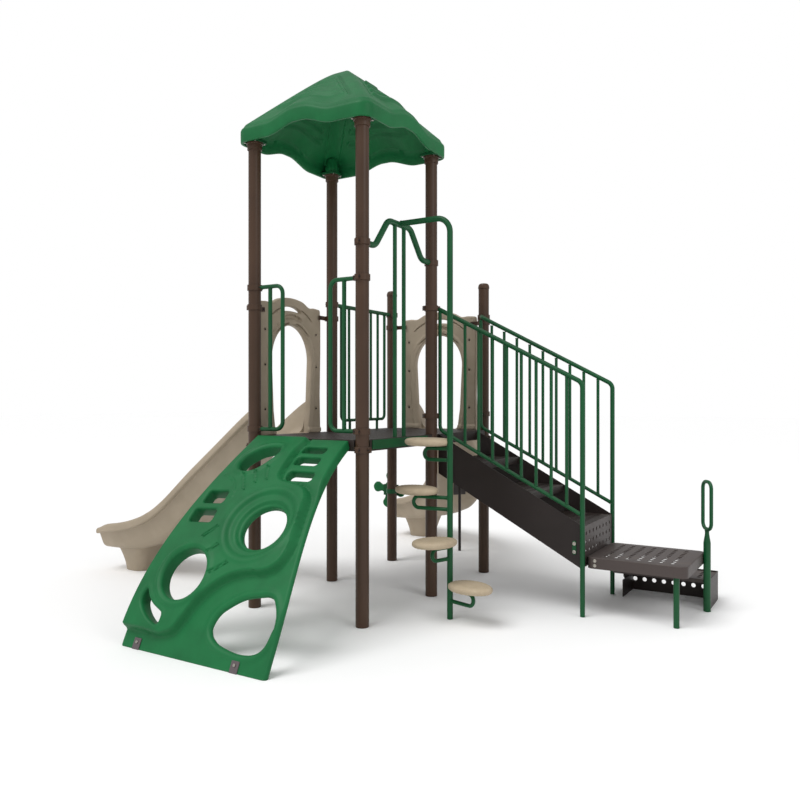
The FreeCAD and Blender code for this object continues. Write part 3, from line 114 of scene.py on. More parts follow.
# ---- Posts ----------------------------------------------------------------------------------
# Six round steel tubes, 89 mm across, powder coated in brown. Four carry the roof and two end
# above the landing in a pressed cap.
class Shade:
    """A socket of a material's node tree. A sum written with it adds the Math nodes for it."""

    def __init__(self, tree, socket):
        self.tree, self.socket = tree, socket

    def node(self, kind, inputs, output=0, stops=None, **settings):
        """Any other node: its type, its inputs as numbers or Shades, and its settings."""
        made = self.tree.nodes.new("ShaderNode" + kind)
        for key, value in settings.items():
            setattr(made, key, value)
        for element, stop in zip(made.color_ramp.elements if stops else (), stops or ()):
            element.position, element.color = stop
        for key, value in inputs.items():
            if isinstance(value, Shade):
                self.tree.links.new(value.socket, made.inputs[key])
            else:
                made.inputs[key].default_value = value
        return Shade(self.tree, made.outputs[output])

    def math(self, operation, *values):
        return self.node("Math", dict(enumerate(values)), operation=operation)

    def __add__(self, other):
        return self.math("ADD", self, other)

    def __sub__(self, other):
        return self.math("SUBTRACT", self, other)

    def __rsub__(self, other):
        return self.math("SUBTRACT", other, self)

    def __mul__(self, other):
        return self.math("MULTIPLY", self, other)

    __radd__, __rmul__ = __add__, __mul__

    def between(self, low, high):
        """0 below low, 1 above high, and smooth in between."""
        return self.node("MapRange", {0: self, 1: low, 2: high}, interpolation_type="SMOOTHSTEP")

    def noise(self, scale, detail=2.0, roughness=0.5):
        return self.node("TexNoise", {"Vector": self, "Scale": scale, "Detail": detail,
                                      "Roughness": roughness})

    def cells(self, scale, feature="F1"):
        return self.node("TexVoronoi", {"Vector": self, "Scale": scale}, feature=feature)

    def mix(self, first, second):
        """Colour that goes from first to second as this socket goes from 0 to 1."""
        return self.node("Mix", {0: self, 6: first, 7: second}, output=2, data_type="RGBA")

    def bump(self, height, strength=1.0):
        """Surface normal for this height map, whose full range is height in metres."""
        return self.node("Bump", {"Strength": strength, "Distance": height, "Height": self})

    def into(self, name):
        """Feeds this socket to the surface shader."""
        self.tree.links.new(self.socket, self.tree.nodes["Principled BSDF"].inputs[name])


def start_material(name, **constants):
    """A new material with these constants on its shader, and its object coordinates."""
    material = bpy.data.materials.new(name)
    material.use_nodes = True
    tree = material.node_tree
    for key, value in constants.items():
        tree.nodes["Principled BSDF"].inputs[key.replace("_", " ")].default_value = value
    place = tree.nodes.new("ShaderNodeTexCoord")
    return material, Shade(tree, place.outputs["Object"])


def paint(red, green, blue, lift=1.0):
    """Linear colour of an eight-bit screen colour, made lighter or darker by lift."""
    share = np.array([red, green, blue]) / 255
    linear = np.where(share <= 0.04045, share / 12.92, ((share + 0.055) / 1.055) ** 2.4) * lift
    return (*linear.clip(0, 1), 1.0)


def powder_coat(name, colour, roughness=0.4):
    """Baked powder on steel: an even colour with a slight cloudiness, the fine orange peel of
    melted powder, and a dull film of dust on the faces that look up."""
    material, place = start_material(name, Specular_IOR_Level=0.28)
    cloud = place.noise(2.5, 3.0)
    normal = place.node("NewGeometry", {}, output=1)
    up = normal.node("SeparateXYZ", {0: normal}, output=2)
    film = up.between(0.55, 1.0) * place.noise(14.0, 4.0).between(0.35, 0.8)
    dark, light = [min(c * 0.9, 1) for c in colour[:3]], [min(c * 1.12, 1) for c in colour[:3]]
    coat = cloud.between(0.3, 0.7).mix((*dark, 1), (*light, 1))
    (film * 0.16).mix(coat, paint(176, 168, 156)).into("Base Color")
    (cloud * 0.12 + film * 0.25 + (roughness - 0.06)).into("Roughness")
    peel = place.noise(420.0, 1.0) + place.noise(110.0, 1.0) * 0.8
    peel.bump(0.0006, 0.35).into("Normal")
    return material


brown_coat = powder_coat("brown_powder_coat", paint(78, 57, 43, 0.8))


def unit(vectors):
    return vectors / np.maximum(np.linalg.norm(vectors, axis=-1, keepdims=True), 1e-9)


def rounded(corners, radius, steps=9, closed=False):
    """Path through corners with an arc at each turn. The arc is the rational curve
    ((1-t)^2 A + 2t(1-t)w C + t^2 B) / ((1-t)^2 + 2t(1-t)w + t^2), a true circle for w = cos(turn/2)."""
    corners = np.asarray(corners, float)
    before, after = np.roll(corners, 1, -2), np.roll(corners, -1, -2)
    way_in, way_out = unit(corners - before), unit(after - corners)
    half_turn = np.arccos((way_in * way_out).sum(-1, keepdims=True).clip(-1, 1)) / 2
    nearest = np.minimum(np.linalg.norm(corners - before, axis=-1),
                         np.linalg.norm(after - corners, axis=-1))
    radius = np.broadcast_to(radius, corners.shape[:-1])[..., None]
    trim = np.minimum(radius * np.tan(half_turn), nearest[..., None] * 0.499)
    t = np.linspace(0, 1, steps)[:, None]
    ends = (1 - t) ** 2, 2 * t * (1 - t) * np.cos(half_turn)[..., None, :], t ** 2
    start, end = corners - way_in * trim, corners + way_out * trim
    arc = sum(share * spot[..., None, :] for share, spot in zip(ends, (start, corners, end))) / sum(ends)
    if closed:
        return arc.reshape(*corners.shape[:-2], -1, corners.shape[-1])
    inner = arc[..., 1:-1, :, :].reshape(*corners.shape[:-2], -1, corners.shape[-1])
    return np.concatenate([corners[..., :1, :], inner, corners[..., -1:, :]], -2)


def turns(count):
    """Angles that divide a full turn into count equal steps."""
    return np.linspace(0, 2 * math.pi, count, endpoint=False)


def skin(points, along=False):
    """Points in rows and columns, and the quads between them. The last column is joined to the
    first, and with along the last row is joined to the first too."""
    index = np.arange(points.shape[0] * points.shape[1]).reshape(points.shape[:2])
    index = np.hstack([index, index[:, :1]])
    index = np.vstack([index, index[:1]]) if along else index
    quads = np.stack([index[:-1, :-1], index[:-1, 1:], index[1:, 1:], index[1:, :-1]], -1)
    return points.reshape(-1, 3), quads.reshape(-1, 4)


def tube(corners, radius, bend=0.0, sides=28, edge=1.5, loop=False):
    """Round tube: P(i, a) = C(i) + r (cos a N(i) + sin a B(i)) along the rounded path C, where N
    and B stand square to the path. Its ends are closed and their edges rounded."""
    line = rounded(corners, bend, closed=loop) if len(corners) > 2 else np.asarray(corners, float)
    step = (np.roll(line, -1, 0) - np.roll(line, 1, 0)) if loop else np.gradient(line, axis=0)
    way = unit(step)
    flat = np.linalg.svd(line - line.mean(0))[2][-1]
    side = unit(flat - (way @ flat)[:, None] * way)
    a = turns(sides)
    circle = (np.cos(a)[None, :, None] * side[:, None]
              + np.sin(a)[None, :, None] * np.cross(way, side)[:, None])
    if loop:
        return skin(line[:, None] + radius * circle, along=True)
    rows = [line[0] + 0 * circle[0],
            line[0] + (radius - edge) * circle[0],
            *(line[0] + way[0] * edge + radius * circle[:1]),
            *(line[1:-1, None] + radius * circle[1:-1]),
            *(line[-1] - way[-1] * edge + radius * circle[-1:]),
            line[-1] + (radius - edge) * circle[-1],
            line[-1] + 0 * circle[-1]]
    return skin(np.stack(rows))


def rectangle(x0, x1, y0, y1):
    """Corners of a rectangle, anticlockwise from the lowest."""
    return [(x0, y0), (x1, y0), (x1, y1), (x0, y1)]


def lathe(profile, spot, sides=48):
    """Surface turned about a vertical line through spot: (r, z) goes to (r cos a, r sin a, z)."""
    a = turns(sides)
    circle = np.stack([np.cos(a), np.sin(a), 0 * a], -1)
    return skin(profile[:, None, :1] * circle + np.array(spot) + profile[:, None, 1:] * [0, 0, 1])


def capped(rows):
    """Rows of a skin that closes to a point in the middle of its first and its last row."""
    rows = [rows[0].mean(0) + 0 * rows[0], *rows, rows[-1].mean(0) + 0 * rows[-1]]
    return skin(np.stack(rows))


def build(name, parts, material, sharp=38.0):
    """One object from several (points, faces) pairs in layout millimetres: shared points are
    merged, faces are turned outwards, and edges sharper than the angle stay crisp."""
    points, faces, count = [], [], 0
    for spots, *sets in parts:
        points.append(np.asarray(spots, float).reshape(-1, 3))
        for corners in sets:
            faces += (np.asarray(corners) + count).tolist()
        count += len(points[-1])
    mesh = bpy.data.meshes.new(name)
    mesh.from_pydata((np.vstack(points) * MM + ORIGIN).tolist(), [], faces)
    tidy(mesh)
    mesh.shade_smooth()
    mesh.set_sharp_from_angle(angle=math.radians(sharp))
    mesh.materials.append(material)
    piece = bpy.data.objects.new(name, mesh)
    scene.collection.objects.link(piece)
    return piece


def tidy(mesh, flatten=False):
    """Merges points that meet and turns the faces outwards."""
    work = bmesh.new()
    work.from_mesh(mesh)
    bmesh.ops.remove_doubles(work, verts=work.verts, dist=2e-6)
    if flatten:
        bmesh.ops.dissolve_limit(work, angle_limit=math.radians(0.6), verts=work.verts, edges=work.edges)
    bmesh.ops.recalc_face_normals(work, faces=work.faces)
    work.to_mesh(mesh)
    work.free()


def fit(piece, slot, *nodes, body="frame"):
    """The piece rides on its body and stands for its CAD nodes, which are hidden. Its slot is not used."""
    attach(piece, body)
    if nodes:
        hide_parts(*nodes)
    return piece


def corners_of(node):
    """Lowest and highest corner of a CAD node in layout millimetres."""
    low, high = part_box(node)
    return (np.array(low) - ORIGIN) / MM, (np.array(high) - ORIGIN) / MM


POST_NODES = [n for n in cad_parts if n.startswith("post_") and n != "post_caps"]
for node in POST_NODES:
    low, high = corners_of(node)
    x, y = (low[:2] + high[:2]) / 2
    post = tube([(x, y, low[2]), (x, y, high[2])], (high[0] - low[0]) / 2, sides=56, edge=2.0)
    fit(build(node + "_tube", [post], brown_coat), "post_brown", node)

low, high = corners_of("post_front_right")
BAY = (low[0] + high[0]) / 2
DECK_Z = corners_of("tower_deck")[1][2]
cap_low, cap_high = corners_of("post_caps")
CAP_R = (cap_high[0] - cap_low[0] - BAY) / 2
cap_profile = rounded([(0, cap_high[2]), (CAP_R * 0.86, cap_high[2] - 7), (CAP_R, cap_low[2] + 14),
                       (CAP_R, cap_low[2]), (0, cap_low[2])], [0, 30, 12, 2, 0])
caps = [lathe(cap_profile, (x, 2 * BAY, 0)) for x in (0, BAY)]
fit(build("post_cap_pair", caps, brown_coat), "post_brown", "post_caps")


# ---- Steel fittings -------------------------------------------------------------------------
# Cast clamp collars, flanges, plates and brackets, powder coated like the tube they hold, with
# the edges eased as castings and sheared plates are. Each keeps its designed shape.
def eased(node, material, edge=1.5, sharp=32.0):
    """A CAD node's shape with its flat faces joined up and its edges rounded."""
    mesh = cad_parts[node].data.copy()
    mesh.materials.clear()
    mesh.materials.append(material)
    tidy(mesh, flatten=True)
    mesh.shade_smooth()
    mesh.set_sharp_from_angle(angle=math.radians(sharp))
    piece = bpy.data.objects.new(node + "_finished", mesh)
    scene.collection.objects.link(piece)
    if edge:
        bevel = piece.modifiers.new("edge", "BEVEL")
        bevel.width, bevel.segments = edge * MM, 2
        bevel.limit_method, bevel.angle_limit = "ANGLE", math.radians(sharp)
        bevel.harden_normals = True
    return piece


plate_coat = powder_coat("foot_plate_coat", paint(92, 84, 86), 0.36)
green_coat = powder_coat("green_powder_coat", paint(16, 88, 48, 0.75))
black_coat = powder_coat("black_powder_coat", paint(46, 38, 36, 0.7))


def zinc(name):
    """Zinc plated steel: bright, slightly yellow, with a streaky passivated bloom."""
    material, place = start_material(name, Metallic=1.0)
    bloom = place.noise(60.0, 4.0)
    bloom.mix(paint(150, 148, 144), paint(196, 190, 178)).into("Base Color")
    (bloom * 0.3 + 0.2).into("Roughness")
    place.noise(900.0, 2.0).bump(0.0004, 0.3).into("Normal")
    return material


zinc_plate = zinc("zinc_plate")
FITTINGS = [
    (brown_coat, "post_brown", 2.0, ("deck_clamps", "rail_collars", "hood_clamps", "roof_post_flanges")),
    (green_coat, "tube_green", 3.0, ("roof_corner_brackets", "wheel_bracket")),
    (green_coat, "tube_green", 1.0, ("climbing_wall_hanger",)),
    (plate_coat, "steel_plate", 1.2, ("climbing_wall_feet",)),
    (green_coat, "tube_green", 1.5, ("pod_deck_plate",)),
    (black_coat, "deck_brown", 1.5, ("stringer_front", "stringer_back")),
    (black_coat, "deck_brown", 1.0, ("transfer_deck_ties", "curved_slide_leg")),
    (black_coat, "deck_brown", 1.5, ("deck_ribs",)),
    (zinc_plate, "steel_bolt", 0.8, ("climbing_wall_bolts",)),
    (black_coat, "steel_bolt", 0.8, ("deck_clamp_bolts", "hood_bolts")),
    (zinc_plate, "steel_bolt", 0.8, ("roof_bolts",)),
    (black_coat, "steel_bolt", 0.8, ("rail_collar_bolts",)),
    (zinc_plate, "steel_bolt", 0.8, ("wheel_axle",)),
]
for material, finish, edge, nodes in FITTINGS:
    for node in nodes:
        fit(eased(node, material, edge), finish, node)


# ---- Climbing wall --------------------------------------------------------------------------
# Rotationally moulded polyethylene panel, hollow and about 85 mm thick, bent along an arc from
# the deck to the ground. Every hole is open right through and its rim is well rounded.
WALL_WIDTH_TOP, WALL_WIDTH_BOTTOM, WALL_FLARE_LENGTH = 770.0, 1140.0, 1500.0
WALL_TOP, WALL_FOOT = np.array([-45.0, DECK_Z]), np.array([-1108.0, 0.0])    # chord ends, as Y and Z
WALL_SAGITTA, WALL_BACK, WALL_LOW, WALL_HIGH = 125.0, -65.0, -35.0, 20.0
chord = WALL_FOOT - WALL_TOP
span = np.hypot(*chord)
WALL_R = (span ** 2 / 4 + WALL_SAGITTA ** 2) / (2 * WALL_SAGITTA)
WALL_TURN = math.asin(span / 2 / WALL_R)
WALL_LENGTH = 2 * WALL_TURN * WALL_R
down = chord / span
out = np.array([down[1], -down[0]])
wall_centre = (WALL_TOP + WALL_FOOT) / 2 - out * (WALL_R - WALL_SAGITTA)
DATUM = 464.0        # the outlines below are drawn from a line this far left of the wall's middle


def wall_place(flat, off):
    """Bends flat (x, s) points onto the wall: s runs down the arc, off stands out from it.
    P = C + (R + off) (cos(s/R - a) n + sin(s/R - a) d)."""
    angle = flat[:, 1] / WALL_R - WALL_TURN
    way = np.cos(angle)[:, None] * out + np.sin(angle)[:, None] * down
    spot = wall_centre + way * (WALL_R + np.asarray(off))[:, None]
    return np.column_stack([flat[:, 0] - DATUM + BAY / 2, spot])


def smooth(value, low, high):
    """0 below low, 1 above high, 3t^2 - 2t^3 between."""
    t = ((value - low) / (high - low)).clip(0, 1)
    return t * t * (3 - 2 * t)


def curve(points, pitch=9.0):
    """Closed Catmull-Rom curve through the points, with a point about every pitch."""
    p = np.asarray(points, float)
    a, b, c, d = np.roll(p, 1, 0), p, np.roll(p, -1, 0), np.roll(p, -2, 0)
    count = max(int(np.linalg.norm(c - b, axis=1).mean() / pitch), 2)
    t = np.arange(count)[:, None, None] / count
    line = 0.5 * (2 * b + (c - a) * t + (2 * a - 5 * b + 4 * c - d) * t ** 2
                  + (3 * b - a - 3 * c + d) * t ** 3)
    return line.transpose(1, 0, 2).reshape(-1, 2)


def circle(x, y, radius, count=96):
    a = turns(count)
    return np.column_stack([x + radius * np.cos(a), y + radius * np.sin(a)])


def pitched(loop, pitch=9.0):
    """The closed loop with a point about every pitch along its straight stretches."""
    pieces = []
    for start, end in zip(loop, np.roll(loop, -1, 0)):
        count = max(round(np.linalg.norm(end - start) / pitch), 1)
        pieces.append(start + (end - start) * np.arange(count)[:, None] / count)
    return np.vstack(pieces)


def signed_distance(points, loop):
    """Distance from each point to a closed loop, below 0 inside it. Chunks keep it small."""
    start, edge = loop, np.roll(loop, -1, 0) - loop
    result = []
    for some in np.array_split(points, max(len(points) // 4000, 1)):
        to = some[:, None] - start
        share = ((to * edge).sum(-1) / np.maximum((edge * edge).sum(-1), 1e-9)).clip(0, 1)
        gap = np.linalg.norm(to - share[..., None] * edge, axis=-1).min(1)
        spans = (to[..., 1] < 0) != (to[..., 1] - edge[:, 1] < 0)
        slope = np.where(np.abs(edge[:, 1]) < 1e-9, 1e-9, edge[:, 1])
        beyond = to[..., 0] < edge[:, 0] * to[..., 1] / slope
        result.append(gap * np.where((spans & beyond).sum(1) % 2, -1, 1))
    return np.concatenate(result)


def turns_left(loop):
    following = np.roll(loop, -1, 0)
    return (loop[:, 0] * following[:, 1] - following[:, 0] * loop[:, 1]).sum() > 0


def shifted(loop, gap):
    """The loop moved outwards by gap along its normals."""
    along = unit(np.roll(loop, -1, 0) - np.roll(loop, 1, 0))
    return loop + np.column_stack([along[:, 1], -along[:, 0]]) * (gap if turns_left(loop) else -gap)


def rim_distance(points, outline, holes):
    """Distance from each point of a pierced sheet to its nearest rim, below 0 off the sheet."""
    return np.min([-signed_distance(points, outline), *[signed_distance(points, hole) for hole in holes]],
                  axis=0)


def pierced(outline, holes, fill=()):
    """Triangles between an outline and its holes, through any fill points: the flat points, the
    triangles, and the edges that lie on a rim."""
    loops = [loop if turns_left(loop) else loop[::-1] for loop in (outline, *holes)]
    counts = np.cumsum([0] + [len(loop) for loop in loops])
    rounds = [list(range(a, b)) for a, b in zip(counts[:-1], counts[1:])]
    spots = [Vector(p) for p in np.vstack([*loops, *fill])]
    made = delaunay_2d_cdt(spots, [], rounds, 0, 1e-4, True)
    flat = np.array([tuple(p) for p in made[0]])
    tri = np.array([t for t, owners in zip(made[2], made[5]) if owners == [0]])
    edges = np.vstack([tri[:, [0, 1]], tri[:, [1, 2]], tri[:, [2, 0]]])
    key, back_key = edges @ [len(flat), 1], edges @ [1, len(flat)]
    return flat, tri, edges[~np.isin(key, back_key)]


def two_faced(points, tri, rim):
    """Front and back faces, the front's points coming first, and the walls along the rim."""
    n = len(points) // 2
    walls = np.column_stack([rim[:, 1], rim[:, 0], rim[:, 0] + n, rim[:, 1] + n])
    return points, tri, tri[:, ::-1] + n, walls


def panel(outline, holes, pitch, front, back, place, rims=(1.5, 4, 8, 13), extra=()):
    """Pierced panel. Its face is a Delaunay triangulation of a square grid, rings beside every
    rim and any extra points, kept inside the outline and outside the holes. front(xy, d) and
    back(xy, d) give each face's height, d being the distance to the nearest rim, and place(xy,
    height) puts it in space. The rims' walls join the two faces."""
    low, high = outline.min(0), outline.max(0)
    grid = np.stack(np.meshgrid(np.arange(low[0] + pitch, high[0], pitch),
                                np.arange(low[1] + pitch, high[1], pitch)), -1).reshape(-1, 2)
    rings = [shifted(outline, -gap) for gap in rims]
    rings += [shifted(hole, gap) for hole in holes for gap in rims]
    fill = np.vstack([grid, *rings, *extra])
    depth = rim_distance(fill, outline, holes)
    # Near a rim the rings take the place of the grid, and nothing comes closer than the first.
    too_near = np.where(np.arange(len(fill)) < len(grid), rims[-1] * 1.3, rims[0] * 0.6)
    clear = (depth > rims[0] * 0.6) & (depth >= too_near)
    flat, tri, rim = pierced(outline, holes, [fill[clear]])
    d = rim_distance(flat, outline, holes).clip(0)
    points = np.vstack([place(flat, front(flat, d)), place(flat, back(flat, d))])
    return two_faced(points, tri, rim)


def edge_round(d, radius):
    """How far a quarter-round rim falls below its face at distance d from the edge."""
    inward = (radius - d).clip(0, radius)
    return radius - np.sqrt(radius ** 2 - inward ** 2)


def slot(x0, x1, y0, y1, radius, tilt=0.0):
    """Round-cornered slot whose right end is lifted by tilt."""
    box = [(x0, y0), (x1, y0 - tilt), (x1, y1 - tilt), (x0, y1)]
    return pitched(rounded(box, radius, 7, closed=True), 8.0)


thumb_hole = curve([(158, 280), (175, 225), (225, 165), (290, 135), (370, 130), (395, 160), (396, 215),
                    (350, 310), (300, 360), (240, 375), (185, 360), (160, 320)])
lens_hole = curve([(-5, 1285), (-15, 1340), (20, 1390), (80, 1435), (150, 1465), (180, 1462), (188, 1430),
                   (180, 1400), (150, 1385), (90, 1360), (40, 1325), (10, 1290)])
egg_hole = curve([(552, 1410), (571, 1347), (615, 1297), (715, 1229), (840, 1195), (890, 1192),
                  (928, 1210), (971, 1285), (984, 1350), (980, 1372), (959, 1460), (903, 1510),
                  (790, 1525), (653, 1504), (590, 1475), (562, 1445)])
ring_hole, round_hole = circle(634, 776, 153), circle(232, 1150, 162)
WIDE_DISH, DEEP_DISH = (618, 764), (632, 774)        # middles of the two dished rings about the ring hole
rungs = [slot(552, 742, 91, 154, 22), slot(565, 755, 197, 272, 24), slot(584, 790, 335, 410, 24)]
side_slots = [slot(75, 237, 569, 666, 20, 12), slot(52, 234, 716, 812, 20, 12)]
plateau = curve([(-420, 1512), (-130, 1512), (60, 1512), (190, 1520), (300, 1485), (350, 1400),
                 (400, 1300), (450, 1230), (520, 1160), (600, 1110), (700, 1080), (790, 1070),
                 (852, 1042), (900, 985), (915, 900), (905, 800), (886, 700), (864, 600), (840, 530),
                 (806, 488), (760, 462), (700, 445), (600, 430), (550, 400), (530, 350), (520, 250),
                 (510, 150), (480, -20), (-130, -20), (-420, -20)], 30)
grips = [((252, 404), (340, 535)), ((334, 372), (396, 472)), ((409, 322), (471, 441)),
         ((240, 904), (315, 822)), ((340, 997), (390, 941)), ((428, 1122), (525, 1045))]
brow = [(109, 422), (215, 470), (270, 540), (287, 600)]
swells = ((thumb_hole, 9, 26), (round_hole, 9, 30), (egg_hole, 7, 26), (lens_hole, 4, 18))


def groove(start, end, half):
    """Outline of a straight groove with round ends."""
    start, end = np.array(start, float), np.array(end, float)
    along = unit(end - start)
    side = np.array([-along[1], along[0]]) * half
    return rounded([start - along * half + side, end + along * half + side, end + along * half - side,
                    start - along * half - side], half * 0.98, 6, closed=True)


grip_loops = [groove(np.add(a, gap), np.add(b, gap), 4.5) for a, b in grips for gap in ((-9, -3), (9, 3))]
brow_line = rounded(np.array(brow, float), 120.0)
brow_loop = np.vstack([shifted(brow_line, 5.0), shifted(brow_line, -5.0)[::-1]])


def ridge(distance, middle, width):
    """1 on the line at distance middle, falling away to both sides: exp(-((d - m) / w)^2)."""
    return np.exp(-((distance - middle) / width) ** 2)


def wall_front(flat, d):
    """The wall's front: a plateau over a low floor, two dished rings about the ring hole, a swell
    round each big hole, the pressed grips and the brow, and last the rounded rim."""
    x, s = flat.T
    brink = signed_distance(flat, plateau)
    raised = smooth(-brink, -17, 15)
    steps = smooth(x, 480, 560) * (1 - smooth(s, 380, 560))
    floor_level = WALL_LOW + 34 * steps
    height = floor_level + (WALL_HIGH - floor_level) * raised - 10 * ridge(brink, 10, 13) * steps
    outer, inner = [np.hypot(x - spot[0], s - spot[1]) for spot in (WIDE_DISH, DEEP_DISH)]
    inside = smooth(-outer, -246, -214) * raised + smooth(-inner, -188, -168)
    height = height - 19 * inside.clip(0, 2) + 5 * ridge(outer, 262, 14) * raised
    for hole, lift, away in swells:
        height = height + lift * ridge(signed_distance(flat, hole), away, 15)
    for loop in grip_loops:
        height = height - 8 * smooth(-signed_distance(flat, loop), -3, 4)
    height = height + 6 * smooth(-signed_distance(flat, brow_loop), -9, 2)
    return height - edge_round(d, 15.0)


edge_s = np.linspace(0, WALL_LENGTH, 30)
flare = (WALL_WIDTH_TOP + (WALL_WIDTH_BOTTOM - WALL_WIDTH_TOP) * smooth(edge_s, 0, WALL_FLARE_LENGTH)) / 2
sides = np.column_stack([flare + DATUM, edge_s])
wall_outline = pitched(rounded(np.vstack([sides, (sides * [-1, 1] + [2 * DATUM, 0])[::-1]]),
                               [12, *[400] * 28, 50, 50, *[400] * 28, 12], 5, closed=True), 10)
wall_holes = [thumb_hole, lens_hole, egg_hole, ring_hole, round_hole, *rungs, *side_slots]
details = [shifted(loop, gap) for loop in grip_loops for gap in (3, 0, -3)]
details += [shifted(brow_loop, gap) for gap in (8, 0)]


DECK_LAP = -corners_of("tower_deck")[0][1]
wall_points, *wall_faces = panel(
    wall_outline, wall_holes, 9.0, wall_front,
    lambda flat, d: WALL_BACK + edge_round(d, 9.0), wall_place, extra=details)


def moulded(name, colour, shade, grain=1.0):
    """Polyethylene from a rotary oven: colour all through with faint swirls, a satin pebble from
    the blasted mould, slightly polished in the patches where hands and feet rub."""
    material, place = start_material(name, Specular_IOR_Level=0.22)
    swirl = place.noise(1.6, 4.0, 0.6) * 0.65 + place.noise(9.0, 3.0) * 0.35
    worn = place.noise(5.0, 5.0).between(0.52, 0.75)
    swirl.between(0.35, 0.65).mix(shade, colour).into("Base Color")
    (0.47 - worn * 0.1 + swirl * 0.06).into("Roughness")
    pebble = place.cells(330.0, "SMOOTH_F1") * 0.8 + place.noise(95.0, 3.0) * 0.7
    pebble.bump(0.0007 * grain, 0.4).into("Normal")
    return material


green_plastic = moulded("green_moulded_plastic", paint(26, 114, 64, 0.86), paint(21, 101, 56, 0.86))
# The lower edge is cut level at the ground, and the upper one square in front of the deck.
wall_points[:, 2] = wall_points[:, 2].clip(0.5)
wall_points[:, 1] = wall_points[:, 1].clip(None, -DECK_LAP - 5.2)
wall_panel = build("climbing_wall_shell", [(wall_points, *wall_faces)], green_plastic, 50)
fit(wall_panel, "plastic_green", "climbing_wall_panel")


# ---- Rails ----------------------------------------------------------------------------------
# Bent and welded steel tube, powder coated green: two grab rails beside the climbing wall, the
# guard between the slides, the arch over the pod climber and the two stair handrails. Each
# joint has a small weld bead.
RAIL_R, BAR_R, LOOP_R, EAR_REACH = 16.7, 11.5, 14.5, 66.0
EAR_IN = EAR_REACH - 18        # a rail ends inside its collar's ear, this far from the post's middle


def bead(spot, way, radius):
    """Weld bead: a ring whose tube is 2.6 mm thick and slightly rippled, round way at spot."""
    way = unit(np.array(way, float))
    side = unit(np.cross(way, [0.31, 0.52, 0.79]))
    a, b = turns(30), turns(8)
    ring = np.cos(a)[:, None] * side + np.sin(a)[:, None] * np.cross(way, side)
    thick = 2.6 + 0.35 * np.sin(a * 12)
    points = np.array(spot) + ring[:, None] * (radius + thick[:, None] * np.cos(b))[..., None] \
        + way * (thick[:, None] * np.sin(b))[..., None]
    return skin(points, along=True)


def upright(x, y, low, high, radius=BAR_R):
    """A bar welded at its foot and its head."""
    return [tube([(x, y, low), (x, y, high)], radius, edge=0.5, sides=20),
            bead((x, y, low), (0, 0, 1), radius), bead((x, y, high), (0, 0, 1), radius)]


GRAB_REACH, GRAB_BAR = 258.0, 145.0
for node, post_x, way in (("grab_rail_left", 0, 1), ("grab_rail_right", BAY, -1)):
    low, high = corners_of(node)
    foot, head = low[2] + LOOP_R, high[2] - LOOP_R
    outer, inner = post_x + way * GRAB_REACH, post_x + way * GRAB_BAR
    start = post_x + way * EAR_IN
    loop = tube([(start, 0, head), (outer, 0, head), (outer, 0, foot), (start, 0, foot)], LOOP_R, 56.0)
    parts = [loop, *upright(inner, 0, foot + LOOP_R * 0.9, head - LOOP_R * 0.9, LOOP_R)]
    fit(build(node + "_tube", parts, green_coat), "tube_green", node)

GUARD_BARS, GUARD_PITCH, GUARD_LEG_IN = 7, 111.0, 123
low, high = corners_of("barrier_rails")
top, bottom = high[2] - RAIL_R, low[2] + RAIL_R * 0.75
first = 1.5 * BAY - GUARD_PITCH * (GUARD_BARS - 1) / 2
last = first + GUARD_PITCH * (GUARD_BARS - 1)
rails = [tube([(0, BAY + EAR_IN, top), (0, 2 * BAY - EAR_IN, top)], RAIL_R),
         tube([(0, first, top - RAIL_R * 0.8), (0, first, bottom), (0, last, bottom),
               (0, last, top - RAIL_R * 0.8)], RAIL_R * 0.75, 45.0),
         *[bead((0, y, top - RAIL_R), (0, 0, 1), RAIL_R * 0.75) for y in (first, last)]]
fit(build("barrier_rail_tubes", rails, green_coat), "tube_green", "barrier_rails")
bars = []
for i in range(1, GUARD_BARS - 1):
    bars += upright(0, first + i * GUARD_PITCH, bottom + RAIL_R * 0.7, top - RAIL_R * 0.95)
for y in (first + GUARD_LEG_IN, last - GUARD_LEG_IN):
    bars += upright(0, y, DECK_Z + 1, bottom - RAIL_R * 0.7)
fit(build("barrier_bar_tubes", bars, green_coat), "tube_green", "barrier_bars")

ARCH_R, ARCH_EAR_RUN, ARCH_SHOULDER, HAND_BAR = 21.0, 150.0, 315.0, 60.0
low, high = corners_of("pod_arch")
crown, arch_end = high[2] - ARCH_R, low[2] + ARCH_R
near_side = [(EAR_IN, arch_end), (ARCH_EAR_RUN, arch_end), (ARCH_SHOULDER, crown)]
far_side = [(BAY - y, z) for y, z in near_side[::-1]]
arch = tube([(BAY, y, z) for y, z in near_side + far_side], ARCH_R, 85.0)
fit(build("pod_arch_tube", [arch], green_coat), "tube_green", "pod_arch")
bars = []
for y in (BAY / 2 - HAND_BAR, BAY / 2 + HAND_BAR):
    bars += upright(BAY, y, DECK_Z + 1, crown - ARCH_R * 0.9, LOOP_R)
fit(build("pod_hand_bar_tubes", bars, green_coat), "tube_green", "pod_hand_bars")

POLE_X, POLE_Y, POLE_R = BAY + 406.0, BAY / 2 - 9.0, 20.0
pole_top = corners_of("pod_pole")[1][2] - POLE_R
pole = [tube([(BAY + ARCH_R * 0.8, POLE_Y, pole_top), (POLE_X, POLE_Y, pole_top), (POLE_X, POLE_Y, 0)],
             POLE_R, 100.0),
        bead((BAY + ARCH_R, POLE_Y, pole_top), (1, 0, 0), POLE_R)]
fit(build("pod_pole_tube", pole, green_coat), "tube_green", "pod_pole")

